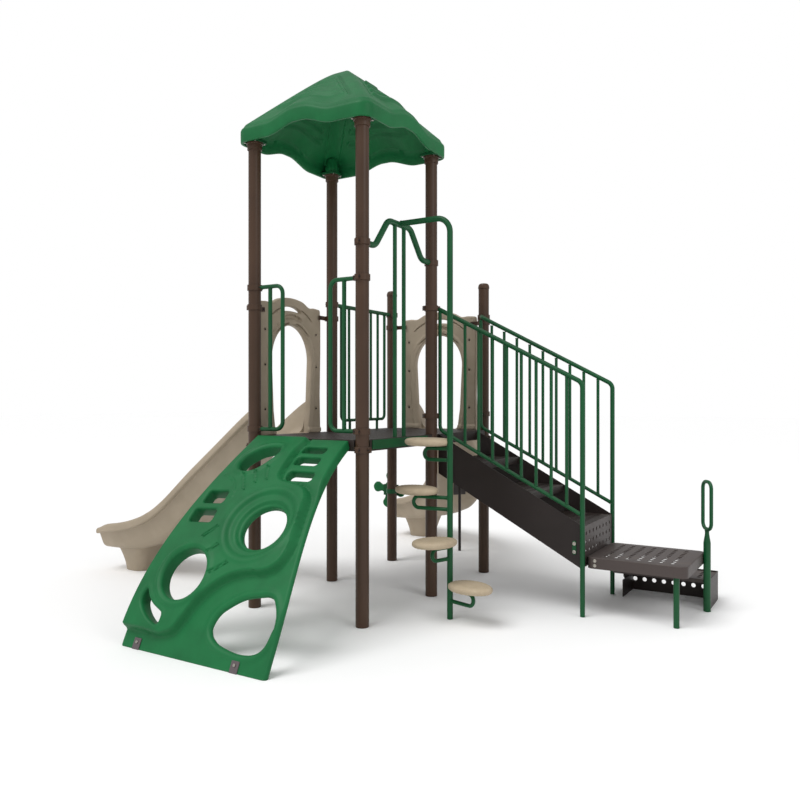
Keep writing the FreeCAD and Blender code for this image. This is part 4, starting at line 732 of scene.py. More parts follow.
STAIR_END_X = corners_of("stringer_front")[1][0]
RAIL_HEAD, RAIL_END, RAIL_FOOT = DECK_Z + 946.0, DECK_Z + 378.0, DECK_Z + 39.0
RAIL_START_X, STAIR_BARS, STRUT_Z = BAY + 41.0, 9, DECK_Z + 138
slope = (RAIL_HEAD - RAIL_END) / (STAIR_END_X - RAIL_START_X)
upright_x, start_x, foot_x = RAIL_START_X + 12, BAY + 42.0, STAIR_END_X - RAIL_R * 0.9
back_ear = (BAY + 10, 2 * BAY - EAR_REACH + 4)
for side in ("front", "back"):
    node_low, node_high = corners_of("handrail_bars_" + side)
    y = (node_low[1] + node_high[1]) / 2
    start_z = RAIL_HEAD - slope * (start_x - RAIL_START_X)
    path = [(start_x, y, start_z), (STAIR_END_X, y, RAIL_END), (STAIR_END_X, y, 0)]
    if side == "back":
        path = [(*back_ear, start_z + 20), (start_x + 25, y, start_z)] + path[1:]
    low_start, low_end = [RAIL_FOOT - slope * (x - RAIL_START_X) for x in (upright_x, foot_x)]
    lower = [(foot_x, y, low_end), (upright_x, y, low_start),
             (upright_x, y, RAIL_HEAD - RAIL_R * 0.9 - slope * (upright_x - RAIL_START_X))]
    parts = [tube(path, RAIL_R, 60.0), tube(lower, RAIL_R - 3, 60.0),
             bead((STAIR_END_X - RAIL_R, y, low_end), (1, 0, -slope), RAIL_R - 3)]
    if side == "back":
        parts.append(tube([(upright_x, y, STRUT_Z), (*back_ear, STRUT_Z)], BAR_R))
    fit(build(f"handrail_{side}_tubes", parts, green_coat), "tube_green", "handrail_" + side)
    bars = []
    for i in range(1, STAIR_BARS + 1):
        x = RAIL_START_X + i * (STAIR_END_X - RAIL_START_X) / (STAIR_BARS + 1)
        drop = slope * (x - RAIL_START_X)
        bars += upright(x, y, RAIL_FOOT - drop + RAIL_R * 0.8, RAIL_HEAD - drop - RAIL_R)
    fit(build(f"handrail_bar_tubes_{side}", bars, green_coat), "tube_green", "handrail_bars_" + side)


# ---- Decks ----------------------------------------------------------------------------------
# Punched steel plate with a deep folded skirt, dipped in brown vinyl that rounds every edge and
# fills the corners. The holes drain the deck; round ones on the tower, slots on the low deck.
def vinyl(name, colour):
    """Dipped vinyl: a soft eggshell skin with slow sags, fine leathery grain, scuffs where shoes
    land and pale dust caught in the grain."""
    material, place = start_material(name, Specular_IOR_Level=0.3)
    normal = place.node("NewGeometry", {}, output=1)
    up = normal.node("SeparateXYZ", {0: normal}, output=2).between(0.6, 0.95)
    scuff = place.noise(7.0, 6.0, 0.65).between(0.5, 0.72) * up
    dark = [c * 0.85 for c in colour[:3]]
    body = place.noise(3.0, 3.0).mix((*dark, 1), colour)
    (scuff * 0.22).mix(body, paint(150, 142, 134)).into("Base Color")
    (scuff * 0.18 + place.noise(40.0, 2.0) * 0.1 + 0.42).into("Roughness")
    (place.noise(260.0, 3.0) + place.noise(12.0, 2.0) * 1.2).bump(0.0009, 0.3).into("Normal")
    return material


deck_vinyl = vinyl("brown_vinyl", paint(52, 43, 39, 0.75))
low_deck_vinyl = vinyl("grey_brown_vinyl", paint(86, 76, 73, 0.75))


def box_loop(x0, x1, y0, y1, radius, pitch=60.0):
    return pitched(rounded(rectangle(x0, x1, y0, y1), radius, 7, closed=True), pitch)


def hole_rows(low, high, margin, pitch, shape, keep=lambda x, y: True):
    """Rows of punched holes, a margin inside a rectangle, wherever keep(x, y) allows one."""
    lines = []
    for start, end, inset, step in zip(low, high, margin, pitch):
        start, end = start + inset, end - inset
        count = int((end - start) // step)
        lines.append((start + end - (count - 1) * step) / 2 + np.arange(count) * step)
    return [shape(x, y) for y in lines[1] for x in lines[0] if keep(x, y)]


PLATE, NOTCH_R = 4.0, 52.8


def notched(x0, x1, y0, y1, posts):
    """Deck outline: a rectangle whose corners are hollowed to part of a circle round each post.
    Each arc runs from where it meets one side of the rectangle to where it meets the other."""
    arcs = []
    for corner in rectangle(x0, x1, y0, y1):
        post = np.array(min(posts, key=lambda p: np.hypot(p[0] - corner[0], p[1] - corner[1])), float)
        way = np.sign([(x0 + x1) / 2, (y0 + y1) / 2] - post)
        over_x, over_y = np.arcsin((np.abs(np.array(corner) - post) / NOTCH_R).clip(0, 1))
        angle = np.linspace(-over_y, math.pi / 2 + over_x, 14)
        arc = post + np.column_stack([np.cos(angle), np.sin(angle)]) * way * NOTCH_R
        arcs.append(arc[::-1] if len(arcs) % 2 == 0 else arc)
    return pitched(np.vstack(arcs), 80.0)


def lying(flat, height):
    return np.column_stack([flat, height])


def level(loop, z):
    return lying(loop, np.full(len(loop), z))


def skirted(outline, holes, top, depth, radius):
    """Deck pressing: the pierced top plate, and round its outline a bend of this radius that
    turns down into the skirt, open below."""
    inner, brink = shifted(outline, -PLATE), shifted(outline, -radius)
    rows = [level(shifted(outline, radius * (math.sin(a) - 1)), top - radius * (1 - math.cos(a)))
            for a in np.linspace(0, math.pi / 2, 5)]
    rows += [level(outline, top - depth), level(inner, top - depth), level(inner, top - PLATE),
             level(brink, top - PLATE)]
    face = sheet(brink, holes, top - PLATE, top, lying, walls=False)
    return [merged(face, skin(np.stack(rows)))]


def merged(*parts):
    """Several (points, faces...) sets as one, so that their shared edges are joined."""
    points, faces, count = [], [], 0
    for spots, *sets in parts:
        points.append(spots)
        faces += [corners + count for corners in sets]
        count += len(spots)
    return np.vstack(points), *faces


def sheet(outline, holes, low, high, place, walls=True):
    """Flat pierced sheet between two heights. Without walls its outer edge stays open, and only
    the holes get theirs."""
    flat, tri, rim = pierced(outline, holes)
    rim = rim if walls else rim[rim[:, 0] >= len(outline)]
    points = np.vstack([place(flat, np.full(len(flat), z)) for z in (high, low)])
    return two_faced(points, tri, rim)


def short_slot(x, y, half_x, half_y):
    box = rectangle(x - half_x, x + half_x, y - half_y, y + half_y)
    return rounded(box, min(half_x, half_y) * 0.98, 5, closed=True)


SKIRT_DEPTH, STEP_LIP, POST_CLEAR = 76.0, 26.0, 78.0
POST_SPOTS = [(x, y) for y in (0, BAY, 2 * BAY) for x in (0, BAY)]
for node in ("tower_deck", "landing_deck"):
    low, high = corners_of(node)
    outline = notched(low[0], high[0], low[1], high[1], POST_SPOTS)
    holes = hole_rows(low[:2], high[:2], (30, 30), (30, 30), lambda x, y: circle(x, y, 6.5, 8),
                      lambda x, y: min(math.hypot(x - px, y - py) for px, py in POST_SPOTS) > POST_CLEAR)
    deck = build(node + "_pressing", skirted(outline, holes, DECK_Z, SKIRT_DEPTH, 4.0), deck_vinyl)
    fit(deck, "deck_brown", node)

TRANSFER_Z = corners_of("transfer_deck")[1][2]
for node, corner, margin, depth in (("transfer_deck", 45.0, (45, 40), SKIRT_DEPTH),
                                    ("transfer_step", 20.0, (35, 30), STEP_LIP)):
    low, high = corners_of(node)
    outline = box_loop(low[0], high[0], low[1], high[1], corner)
    holes = hole_rows(low[:2], high[:2], margin, (74, 56), lambda x, y: short_slot(x, y, 14.0, 18.0))
    parts = skirted(outline, holes, high[2], depth, 6.0)
    fit(build(node + "_pressing", parts, low_deck_vinyl), "deck_brown", node)
fit(eased("transfer_step_skirt", deck_vinyl, 1.2), "deck_brown", "transfer_step_skirt")


# ---- Stair ----------------------------------------------------------------------------------
# Three folded treads and a closed lower riser between the plate stringers, all dipped in the
# same vinyl. Treads and riser are punched with short slots, and the riser bolts to the low deck.
STAIR_STEPS = 3
STAIR_RUN = (STAIR_END_X - corners_of("stringer_front")[0][0]) / STAIR_STEPS
front_y, back_y = corners_of("stringer_front")[1][1], corners_of("stringer_back")[0][1]
STAIR_RISE = (DECK_Z - TRANSFER_Z) / (STAIR_STEPS + 1)
TREAD_PLATE, TREAD_LIP = 6.0, 50.0
treads = []
for i in range(STAIR_STEPS):
    x0, z = STAIR_END_X - (STAIR_STEPS - i) * STAIR_RUN, DECK_Z - (i + 1) * STAIR_RISE
    x1 = x0 + STAIR_RUN - (TREAD_PLATE if i == STAIR_STEPS - 1 else 0)
    edge_x = x1 - TREAD_PLATE
    outline = np.array(rectangle(x0, edge_x, front_y, back_y))
    holes = hole_rows((x0, front_y), (x1, back_y), (20, 25), (72, 40),
                      lambda x, y: short_slot(x, y, 22, 6))
    treads.append(sheet(outline, holes, z - TREAD_PLATE, z, lying))
    lip = TREAD_LIP if i < STAIR_STEPS - 1 else TREAD_PLATE
    nose = rounded([(edge_x, z), (x1, z), (x1, z - lip), (edge_x, z - lip)], [2, 5, 2, 1], 5, closed=True)
    rows = [np.column_stack([nose[:, 0], np.full(len(nose), y), nose[:, 1]]) for y in (front_y, back_y)]
    ends = [np.array([x1 - TREAD_PLATE / 2, y, z - lip / 2]) + 0 * rows[0] for y in (front_y, back_y)]
    treads.append(skin(np.stack([ends[0], *rows, ends[1]])))
fit(build("stair_tread_pressings", treads, deck_vinyl), "deck_brown", "stair_treads")



def standing(flat, height):
    """A sheet that stands across X: flat (x, y) becomes Y and Z, and height runs along X."""
    return np.column_stack([height, flat])


low, high = corners_of("stair_riser")
holes = [short_slot(y, high[2] - drop, 12.0, 14.0) for drop in (52, 112, 172)
         for y in np.linspace(low[1] + 60, high[1] - 60, 8)]
parts = [sheet(box_loop(low[1], high[1], low[2], high[2], 4.0), holes, low[0], high[0], standing)]
fit(build("stair_riser_plate", parts, low_deck_vinyl), "deck_brown", "stair_riser")

low, high = corners_of("transfer_leg")
x, y, r = (low[0] + high[0]) / 2, (low[1] + high[1]) / 2, (high[0] - low[0]) / 2
leg = tube([(x, y, 0), (x, y, high[2])], r)
fit(build("transfer_leg_tube", [leg], green_coat), "tube_green", "transfer_leg")


# ---- Hand loop ------------------------------------------------------------------------------
# A leg beside the low deck that narrows to a neck, and on it a closed loop of thin tube to pull
# up by. The loop is bent from one length and welded to the neck.
SLEEVE_R, LOOP_TUBE_R, SLEEVE_TOP, CONE, LOOP_TURN = 24.5, 12.5, 480.0, 60.0, math.radians(-36)
low, high = corners_of("hand_loop")
x, y = (low[0] + high[0]) / 2, (low[1] + high[1]) / 2
half, foot, head = (high[1] - low[1]) / 2 - LOOP_TUBE_R, low[2] + LOOP_TUBE_R, high[2] - LOOP_TUBE_R
profile = rounded([(0, 0), (SLEEVE_R - 1, 0), (SLEEVE_R, 1), (SLEEVE_R, SLEEVE_TOP),
                   (LOOP_R, SLEEVE_TOP + CONE), (LOOP_R, foot - 2), (0, foot - 2)], [0, 1, 1, 60, 40, 3, 0])
fit(build("hand_loop_post", [lathe(profile, (x, y, 0))], green_coat), "tube_green", "hand_loop_leg")
turned = np.array([math.sin(LOOP_TURN), math.cos(LOOP_TURN), 0]) * half
spot = np.array([x, y, 0])
loop = tube([spot + turned + [0, 0, foot], spot + turned + [0, 0, head], spot - turned + [0, 0, head],
             spot - turned + [0, 0, foot]], LOOP_TUBE_R, half - 14, loop=True)
parts = [loop, bead((x, y, foot - LOOP_TUBE_R), (0, 0, 1), LOOP_R)]
fit(build("hand_loop_ring", parts, green_coat), "tube_green", "hand_loop")

# Bolt tab on the front stringer beside the newel, and the two bolts in the low deck's skirt.
low, high = corners_of("stringer_front")
newel_x = corners_of("transfer_deck")[0][0] - 18
tab_x, face_y = newel_x - 62, low[1]
tab = rectangle(tab_x - 14, tab_x + 14, TRANSFER_Z + 8, TRANSFER_Z + 104)
loop = rounded(tab, 13, 7, closed=True)
rows = [np.column_stack([ring[:, 0], np.full(len(ring), face_y - out), ring[:, 1]])
        for ring, out in ((loop, -1.0), (loop, 4.0), (shifted(loop, -1.5), 5.5))]
fit(build("stringer_bolt_tab", [capped(rows)], green_coat), "tube_green")


def button_head(x, y, z, radius):
    """Domed bolt head that faces forward, on a thin washer."""
    profile = rounded([(0, 7.5), (radius * 0.75, 7), (radius * 0.8, 2), (radius * 1.25, 2),
                       (radius * 1.25, -1), (0, -1)], [0, 5, 0.5, 0.6, 0.3, 0], 6)
    a = turns(32)
    points = np.stack([profile[:, :1] * np.cos(a), -profile[:, 1:] + 0 * a, profile[:, :1] * np.sin(a)], -1)
    return skin(points + np.array([x, y, z]))


deck_face = corners_of("transfer_deck")[0]
heads = [button_head(tab_x, face_y - 5.5, TRANSFER_Z + rise, 10.0) for rise in (28, 84)]
heads += [button_head(deck_face[0] + 58, deck_face[1], TRANSFER_Z - drop, 9.0) for drop in (22, 54)]
fit(build("stair_bolt_heads", heads, zinc_plate), "steel_bolt")


# ---- Pods -----------------------------------------------------------------------------------
# Four pebble-shaped steps of speckled polyethylene with a knobbly top, each on a looped steel
# tube that is welded to the pole.
def pebble_finish():
    """Stone-coloured plastic: light and dark flecks in a sand ground, under a fine rough skin."""
    material, place = start_material("speckled_pod_plastic", Specular_IOR_Level=0.35)
    fleck = place.noise(170.0, 5.0, 0.75)
    ground = place.noise(22.0, 2.0).mix(paint(180, 162, 136, 0.88), paint(196, 180, 154, 0.88))
    dark = fleck.between(0.30, 0.40).mix(paint(120, 98, 70), ground)
    fleck.between(0.62, 0.72).mix(dark, paint(226, 216, 196)).into("Base Color")
    (place.noise(60.0, 2.0) * 0.15 + 0.58).into("Roughness")
    (place.cells(75.0) * 0.9 + place.noise(240.0, 3.0) * 0.5).bump(0.0016, 0.5).into("Normal")
    return material


pod_plastic = pebble_finish()
POD_LENGTH, POD_WIDTH, POD_THICK = 330.0, 240.0, 58.0
POD_TUBE_R, POD_TUBE_DROP, POD_TUBE_PAST = 13.0, 78.0, 25.0
PODS = [("pod_top", -172, 0, 4), ("pod_upper", -243, -25, -8), ("pod_lower", -44, -130, 65),
        ("pod_bottom", 181, -55, -16)]
u = turns(120)[None, :]
v = np.linspace(-math.pi / 2, math.pi / 2, 41)[:, None]
brackets = []
for node, across, along, angle in PODS:
    low, high = corners_of(node)
    z = (low[2] + high[2]) / 2
    x, y = POLE_X + across, POLE_Y + along
    # A squashed egg: its plan follows (cos v)^0.38 and its height (sin v)^0.85, and two crossing
    # waves raise knobs of up to 1.8 mm.
    full = np.abs(np.cos(v)) ** 0.38
    swell = 1 - 0.08 * np.cos(u)
    knobs = 1.8 * np.sin(13 * np.cos(u) * full * 2.1) * np.sin(11 * np.sin(u) * full * 2.3) * np.cos(v)
    px = POD_LENGTH / 2 * np.cos(u) * full
    py = POD_WIDTH / 2 * swell * np.sin(u) * full
    pz = POD_THICK / 2 * np.sign(np.sin(v)) * np.abs(np.sin(v)) ** 0.85 + knobs
    pz = (pz - 2.5 * (v > 0.6) * (1 - full ** 2)).clip(-POD_THICK / 2, POD_THICK / 2 + 1)
    c, s = math.cos(math.radians(angle)), math.sin(math.radians(angle))
    points = np.stack([x + px * c - py * s, y + px * s + py * c, z + pz], -1)
    points[0], points[-1] = (x, y, z - POD_THICK / 2), (x, y, z + POD_THICK / 2)
    fit(build(node + "_pebble", [skin(points)], pod_plastic, 60), "plastic_pod", node)
    reach = np.array([across, along], float)
    way = unit(reach)
    end = np.array([POLE_X, POLE_Y]) + reach * (1 + POD_TUBE_PAST / np.hypot(*reach))
    start = np.array([POLE_X, POLE_Y]) + way * POLE_R * 0.8
    weld = start + way * POLE_R * 0.25
    top = z - POD_THICK / 2 - POD_TUBE_R
    path = [(*start, top), (*end, top), (*end, top - POD_TUBE_DROP), (*start, top - POD_TUBE_DROP)]
    brackets.append(tube(path, POD_TUBE_R, POD_TUBE_DROP / 2 - 0.1, edge=0.5))
    brackets += [bead((*weld, h), (*way, 0), POD_TUBE_R) for h in (top, top - POD_TUBE_DROP)]
fit(build("pod_bracket_tubes", brackets, green_coat), "tube_green", "pod_brackets")


# ---- Slide hoods ----------------------------------------------------------------------------
# Hollow moulded entrance panels in tan polyethylene: a rounded doorway with a raised frame, a
# crescent slot and curved grooves over it, and small moulded-in bolt recesses down the jambs.
tan_plastic = moulded("tan_moulded_plastic", paint(170, 156, 137), paint(158, 145, 126), 0.9)
HOOD_HALF, HOOD_THICK = 370.0, 55.0
shoulder, hood_top, door_top, hood_foot = DECK_Z + 991, DECK_Z + 1048, DECK_Z + 831, DECK_Z - 26
DOOR_HALF, springing = 235.0, DECK_Z + 831 / 2 + 150


def mirrored(side, middle=()):
    """A closed line from its right side, read from below, through the middle to its mirror image."""
    return np.array([*side, *middle, *[(-x, z) for x, z in side[::-1]]], float)


hood_side = [(HOOD_HALF, hood_foot), (HOOD_HALF - 8, DECK_Z + 300), (HOOD_HALF, DECK_Z + 640),
             (HOOD_HALF, shoulder - 90), (HOOD_HALF - 8, shoulder - 6), (HOOD_HALF - 85, shoulder),
             (HOOD_HALF - 150, shoulder - 8)]
side_bends = [8, 900, 900, 60, 20, 90, 160]
crest = [(150, hood_top - 22), (0, hood_top), (-150, hood_top - 22)]
hood_bends = [*side_bends, 300, 500, 300, *side_bends[::-1]]
hood_outline = pitched(rounded(mirrored(hood_side, crest), hood_bends, 7, closed=True), 10)
arc = np.linspace(0, math.pi, 40)
door_arch = np.column_stack([DOOR_HALF * np.cos(arc), springing + (door_top - springing) * np.sin(arc)])
door = pitched(mirrored([(190, DECK_Z + 2), (215, DECK_Z + 180)], door_arch), 10)


def swept_arc(x0, x1, rise, z, half):
    """Outline of a curved groove along z - rise x^2 from x0 to x1, pointed at its ends."""
    x = np.linspace(x0, x1, 16)
    line = np.column_stack([x, z - rise * x * x])
    t = np.linspace(-1, 1, 16)
    wide = (half * np.sqrt(1 - 0.94 * t ** 2))[:, None]
    along = unit(np.gradient(line, axis=0))
    side = np.column_stack([-along[:, 1], along[:, 0]])
    return np.vstack([line + side * wide, (line - side * wide)[::-1]])


crescent = swept_arc(-118, 118, 1 / 700, door_top + 128, 17)
hood_grooves = [swept_arc(118, 255, 1 / 620, door_top + 148, 5),
                swept_arc(-255, -118, 1 / 620, door_top + 148, 5),
                swept_arc(-80, 120, 1 / 900, door_top + 64, 19),
                swept_arc(40, 200, 1 / 420, door_top + 18, 5),
                swept_arc(-200, -40, 1 / 420, door_top + 18, 5)]
studs = [(side * 305, z) for side in (1, -1) for z in (DECK_Z + 190, DECK_Z + 520, DECK_Z + 780)]


def hood_front(flat, d):
    """The hood's outer face: a raised frame round the doorway, the grooves over it, a recess at
    each stud and a lip along the deck, and last the rounded rim."""
    height = HOOD_THICK - edge_round(d, 13.0)
    frame_gap = signed_distance(flat, door)
    height = height - 11 * smooth(frame_gap, 46, 54) + 4 * ridge(frame_gap, 42, 7)
    for loop in hood_grooves:
        height = height - 19 * smooth(-signed_distance(flat, loop), -1, 3)
    for x, z in studs:
        height = height - 5 * smooth(-np.hypot(flat[:, 0] - x, flat[:, 1] - z), -15, -9)
    lip = smooth(flat[:, 1], DECK_Z + 44, DECK_Z + 30)
    return height + 9 * lip * smooth(flat[:, 1], DECK_Z + 1, DECK_Z + 5)


details = [shifted(loop, gap) for loop in hood_grooves for gap in (3, -2)]
details += [circle(x, z, r, 20) for x, z in studs for r in (5, 9, 12, 15)]
details += [level(np.linspace(-360, 360, 60), DECK_Z + z) for z in (1, 5, 30, 37, 44)]
hood_points, *hood_faces = panel(hood_outline, [door, crescent], 11.0, hood_front,
                                 lambda flat, d: edge_round(d, 9.0), lying, (1.5, 4, 8, 12), details)
a = turns(20)[None, :]
b = np.linspace(0, math.pi / 2, 6)[:, None]
STUD_R = 7.5
stud_heads = [(x + STUD_R * np.cos(b) * np.cos(a), z + STUD_R * np.cos(b) * np.sin(a),
               45 + 5 * np.sin(b) + 0 * a) for x, z in studs]


def stand_up(u, z, w, faces_left, base):
    """Stands a hood in front of its deck: u runs across it and w out towards its outer face."""
    if faces_left:
        return np.stack([base - HOOD_THICK + w, BAY / 2 + u, z], -1)
    return np.stack([BAY / 2 + u, base + HOOD_THICK - w, z], -1)


for node, *stance in (("hood_left", True, corners_of("hood_left")[1][0]),
                      ("hood_rear", False, corners_of("hood_rear")[0][1])):
    shell = (stand_up(*hood_points.T, *stance), *hood_faces)
    fit(build(node + "_panel", [shell], tan_plastic, 50), "plastic_tan", node)
    heads = [skin(stand_up(*head, *stance)) for head in stud_heads]
    fit(build(node + "_studs", heads, black_coat), "steel_bolt")


# ---- Slides ---------------------------------------------------------------------------------
# Two moulded troughs in the tan plastic, one straight and one turning left. The bed falls from
# the deck in a shallow S, the side walls carry a rolled rim with a shadow under it, and each
# exit stands on a tapered foot moulded in one with the trough.
SLIDE_EXIT_Z = 250.0
STRAIGHT = [(0, 1, 265), (120, .96, 225), (240, .865, 230), (507, .632, 248), (771, .405, 265),
            (1047, .162, 270), (1190, .072, 258), (1337, .033, 224), (1487, .012, 197), (1641, .004, 172),
            (1783, 0, 158), (1875, 0, 110)]
CURVED = [(0, 1, 265), (90, .96, 230), (220, .84, 240), (400, .66, 255), (560, .501, 270), (720, .356, 280),
          (880, .232, 285), (1050, .134, 275), (1250, .064, 245), (1450, .026, 205), (1650, .007, 175),
          (1800, .001, 158), (1905, 0, 110)]
TURN_START, TURN_R = 99.0, 1150.0
FACE = DECK_LAP + 0.2        # the slides begin this far, and a hood's thickness, outside the posts
SLIDE_START, SLIDE_REAR = -FACE - HOOD_THICK, 2 * BAY + FACE + HOOD_THICK
FOOT_BACK, FOOT_HALF, SILL_HALF = 260.0, 185.0, 170.0


def eased_run(stations, step=12.0, window=15):
    """Distance, bed height and rim height along a slide: straight lines between the stations,
    then a weighted running mean over the window, with both ends kept."""
    s = np.array(stations, float)
    along = np.arange(-window * step, s[-1, 0] + window * step + 1, step)
    rows = [np.interp(along, s[:, 0], s[:, i]) for i in (1, 2)]
    kernel = np.hanning(window + 2)[1:-1]
    rows = [np.convolve(np.pad(row, window // 2, "edge"), kernel / kernel.sum(), "valid") for row in rows]
    keep = np.append(np.arange(0, s[-1, 0], step), s[-1, 0])
    share, rim = [np.interp(keep, along, row) for row in rows]
    return keep, SLIDE_EXIT_Z + (DECK_Z - SLIDE_EXIT_Z) * share, rim


def trough(stations, spot_at):
    """One slide: its section at each distance, set square to the way spot_at gives. The rim's
    last stretch sinks into the rolled exit lip."""
    along, bed, rim = eased_run(stations)
    fall = np.minimum(70, rim * 0.4)
    zero = 0 * rim
    right = [(zero + 300, rim), (zero + 300, rim - fall), (zero + 262, rim - fall - 2),
             (zero + 212, -28 - 34 * smooth(along, 1150, 1550))]
    inside = [(zero + 183, zero), (zero + 245, rim)]
    corners = right + [(-x, z) for x, z in right[::-1]] + [(-x, z) for x, z in inside[::-1]] + inside
    corners = np.stack([np.column_stack(c) for c in corners], 1)
    radii = [24, 13, 10, 70, 70, 10, 13, 24, 24, 95, 95, 24]
    section = rounded(corners, radii, 7, closed=True)
    # A long crease down each side wall and an oval rib before the exit, some millimetres deep.
    u, w = section[..., 0], section[..., 1]
    outer = (np.arange(u.shape[1]) < 56)[None, :] * (np.abs(u) > 214) * (w < (rim - fall)[:, None] - 12)
    d = along[:, None]
    crease = ridge(w, 70 - 0.03 * (d - 500), 7) * smooth(d, 330, 420) * (1 - smooth(d, 820, 930))
    rib = ridge(w, 62, 26) * ridge(d, 1230, 120)
    section[..., 0] += np.sign(u) * outer * (7 * rib - 5 * crease)
    turn = np.linspace(0, math.pi / 2, 5)[1:]
    last = np.stack([shifted(section[-1], -11 * (1 - math.cos(a))) for a in turn])
    first = np.stack([shifted(section[0], -3.0)])
    section = np.vstack([first, section, last])
    along = np.concatenate([along[:1], along, along[-1] + 11 * np.sin(turn)])
    bed = np.concatenate([bed[:1], bed, bed[-1:].repeat(4)])
    spots, ways = spot_at(along)
    side = np.column_stack([ways[:, 1], -ways[:, 0], 0 * ways[:, 0]])
    height = section[..., 1:] + bed[:, None, None]
    points = spots[:, None] + section[..., :1] * side[:, None] + height * [0, 0, 1]
    n = points.shape[1]
    ends = [np.arange(n)[None], np.arange(n)[None] + n * (len(points) - 1)]
    return (*skin(points), *ends)


def straight_way(along):
    spots = np.column_stack([SLIDE_START - along, BAY / 2 + 0 * along, 0 * along])
    return spots, np.tile([-1.0, 0, 0], (len(along), 1))


def curved_way(along):
    """Straight ahead, then round to the left on a circle."""
    past = (along - TURN_START).clip(0)
    angle = past / TURN_R
    ahead = np.minimum(along, TURN_START)
    spots = np.column_stack([BAY / 2 - TURN_R * (1 - np.cos(angle)),
                             SLIDE_REAR + ahead + TURN_R * np.sin(angle), 0 * along])
    return spots, np.column_stack([-np.sin(angle), np.cos(angle), 0 * along])


def slide_foot(stations, spot_at):
    """Tapered stand under the exit: round-cornered rectangles, wider and longer with height."""
    (end,), (way,) = spot_at(np.array([stations[-1][0]]))
    middle = end - way * FOOT_BACK
    side = np.array([way[1], -way[0], 0])
    rows = []
    for z, under in [(0, 6), (0.4, 2.5), (1.4, 0.8), *[(z, 0) for z in (3, 9, 40, 80, 131, 170, 205, 236)]]:
        share = z / 262 if under == 0 else 0
        half, inset = 138 + 70 * share ** 1.7 - under, 70 * (1 - share ** 1.5)
        long = FOOT_HALF - inset - under
        loop = rounded(rectangle(-long, long, -half, half), 78, 8, closed=True)
        rows.append(middle * [1, 1, 0] + loop[:, :1] * way + loop[:, 1:] * side + [0, 0, z])
    return capped(rows)




def sill(x0, x1, y0, y1, z0, z1):
    """Moulded apron that carries the bed over to the deck, its long edges rounded."""
    loop = box_loop(x0, x1, y0, y1, 3.0)
    inner = shifted(loop, -3)
    return capped([level(inner, z0), level(loop, z0 + 3), level(loop, z1 - 3), level(inner, z1)])


bed_sides = (BAY / 2 - SILL_HALF, BAY / 2 + SILL_HALF)
for node, stations, way, box in (
        ("straight_slide", STRAIGHT, straight_way, (SLIDE_START - 30, -FACE, *bed_sides)),
        ("curved_slide", CURVED, curved_way, (*bed_sides, 2 * BAY + FACE, SLIDE_REAR + 30))):
    parts = [trough(stations, way), slide_foot(stations, way), sill(*box, DECK_Z - 28, DECK_Z - 2)]
    fit(build(node + "_moulding", parts, tan_plastic, 50), "plastic_tan", node)


# ---- Roof -----------------------------------------------------------------------------------
# Four-sided canopy moulded in the green plastic. Its eave is scooped upwards in the middle of
# each side, curved ribs stiffen each face, a narrow groove runs beside each hip, and inside a
# channel follows the hips down to the pads on the posts.
low, high = corners_of("roof_canopy")
EAVE, ROOF_TOP, ROOF_HALF = low[2], high[2], (high[0] - low[0]) / 2
FASCIA, ROOF_SKIN, ROOF_CORNER, SCOOP = 104.0, 24.0, 95.0, 60.0
RIB_LEVELS, RIB_HIGH, SLOPE = (0.28, 0.40, 0.52, 0.64), 25.0, 1.3
middle = np.array([BAY / 2, BAY / 2])
straight = ROOF_HALF - ROOF_CORNER
side_run = np.linspace(-1, 1, 91)[1:-1, None] * straight
a = np.linspace(0, math.pi / 2, 15)[:, None]
# One side of the eave and the corner after it, then the same turned by a quarter three times.
quarters = [np.vstack([np.hstack([side_run, -ROOF_HALF + 0 * side_run]),
                       np.array([straight, -straight]) + ROOF_CORNER * np.hstack([np.sin(a), -np.cos(a)])])]
for _ in range(3):
    quarters.append(quarters[-1] @ np.array([[0, 1], [-1, 0]]))
eave_line = np.vstack(quarters)


def least_and_most(flat):
    """The smaller and the larger of |x| and |y|."""
    ordered = np.sort(np.abs(flat), axis=-1)
    return ordered[..., 0], ordered[..., 1]


def wave(flat):
    """Lift of the eave: 0 at the corners, a flat-topped swell in the middle of each side."""
    least, most = least_and_most(flat)
    return SCOOP * (1 - smooth(least / np.maximum(most, 1), 0.05, 0.5))


def roof_height(share, flat, under=False):
    """Height of the canopy at share of the way from apex to eave. The slope is straight but for
    a round apex; ribs, grooves and the hip channel are added along the face's own axes."""
    least, most = least_and_most(flat)
    round_off = 0.15
    fall = (np.sqrt(share ** 2 + round_off ** 2) - round_off) / (math.sqrt(1 + round_off ** 2) - round_off)
    lift = wave(flat) * smooth(share, 0.45, 1.0)
    height = EAVE + FASCIA + lift + (ROOF_TOP - EAVE - FASCIA) * (1 - fall)
    rise, hip = 1 - share, (most - least) / math.sqrt(2)
    across = least / np.maximum(most, 1)
    for rib_level in RIB_LEVELS:
        gap = (rise - rib_level + 0.045 * (1 - across ** 2)) * ROOF_HALF * SLOPE
        height = height + RIB_HIGH * (1 - smooth(np.abs(gap), 10, 24)) * smooth(hip, 92, 116)
    if under:
        channel = smooth(rise, 0.0, 0.12) * (1 - smooth(rise, 0.84, 0.9))
        return height - 16 * (1 - smooth(hip, 52, 62)) * channel
    line = smooth(rise, 0.12, 0.15) * (1 - smooth(rise, 0.72, 0.76))
    return height - 12 * (1 - smooth(np.abs(hip - 72), 4, 11)) * line


def roof_rows(shares, flat_line, drop, under=False):
    flat = shares[:, None, None] * flat_line
    height = roof_height(shares[:, None] + 0 * flat[..., 0], flat, under) - drop
    return np.concatenate([flat + middle, height[..., None]], -1)


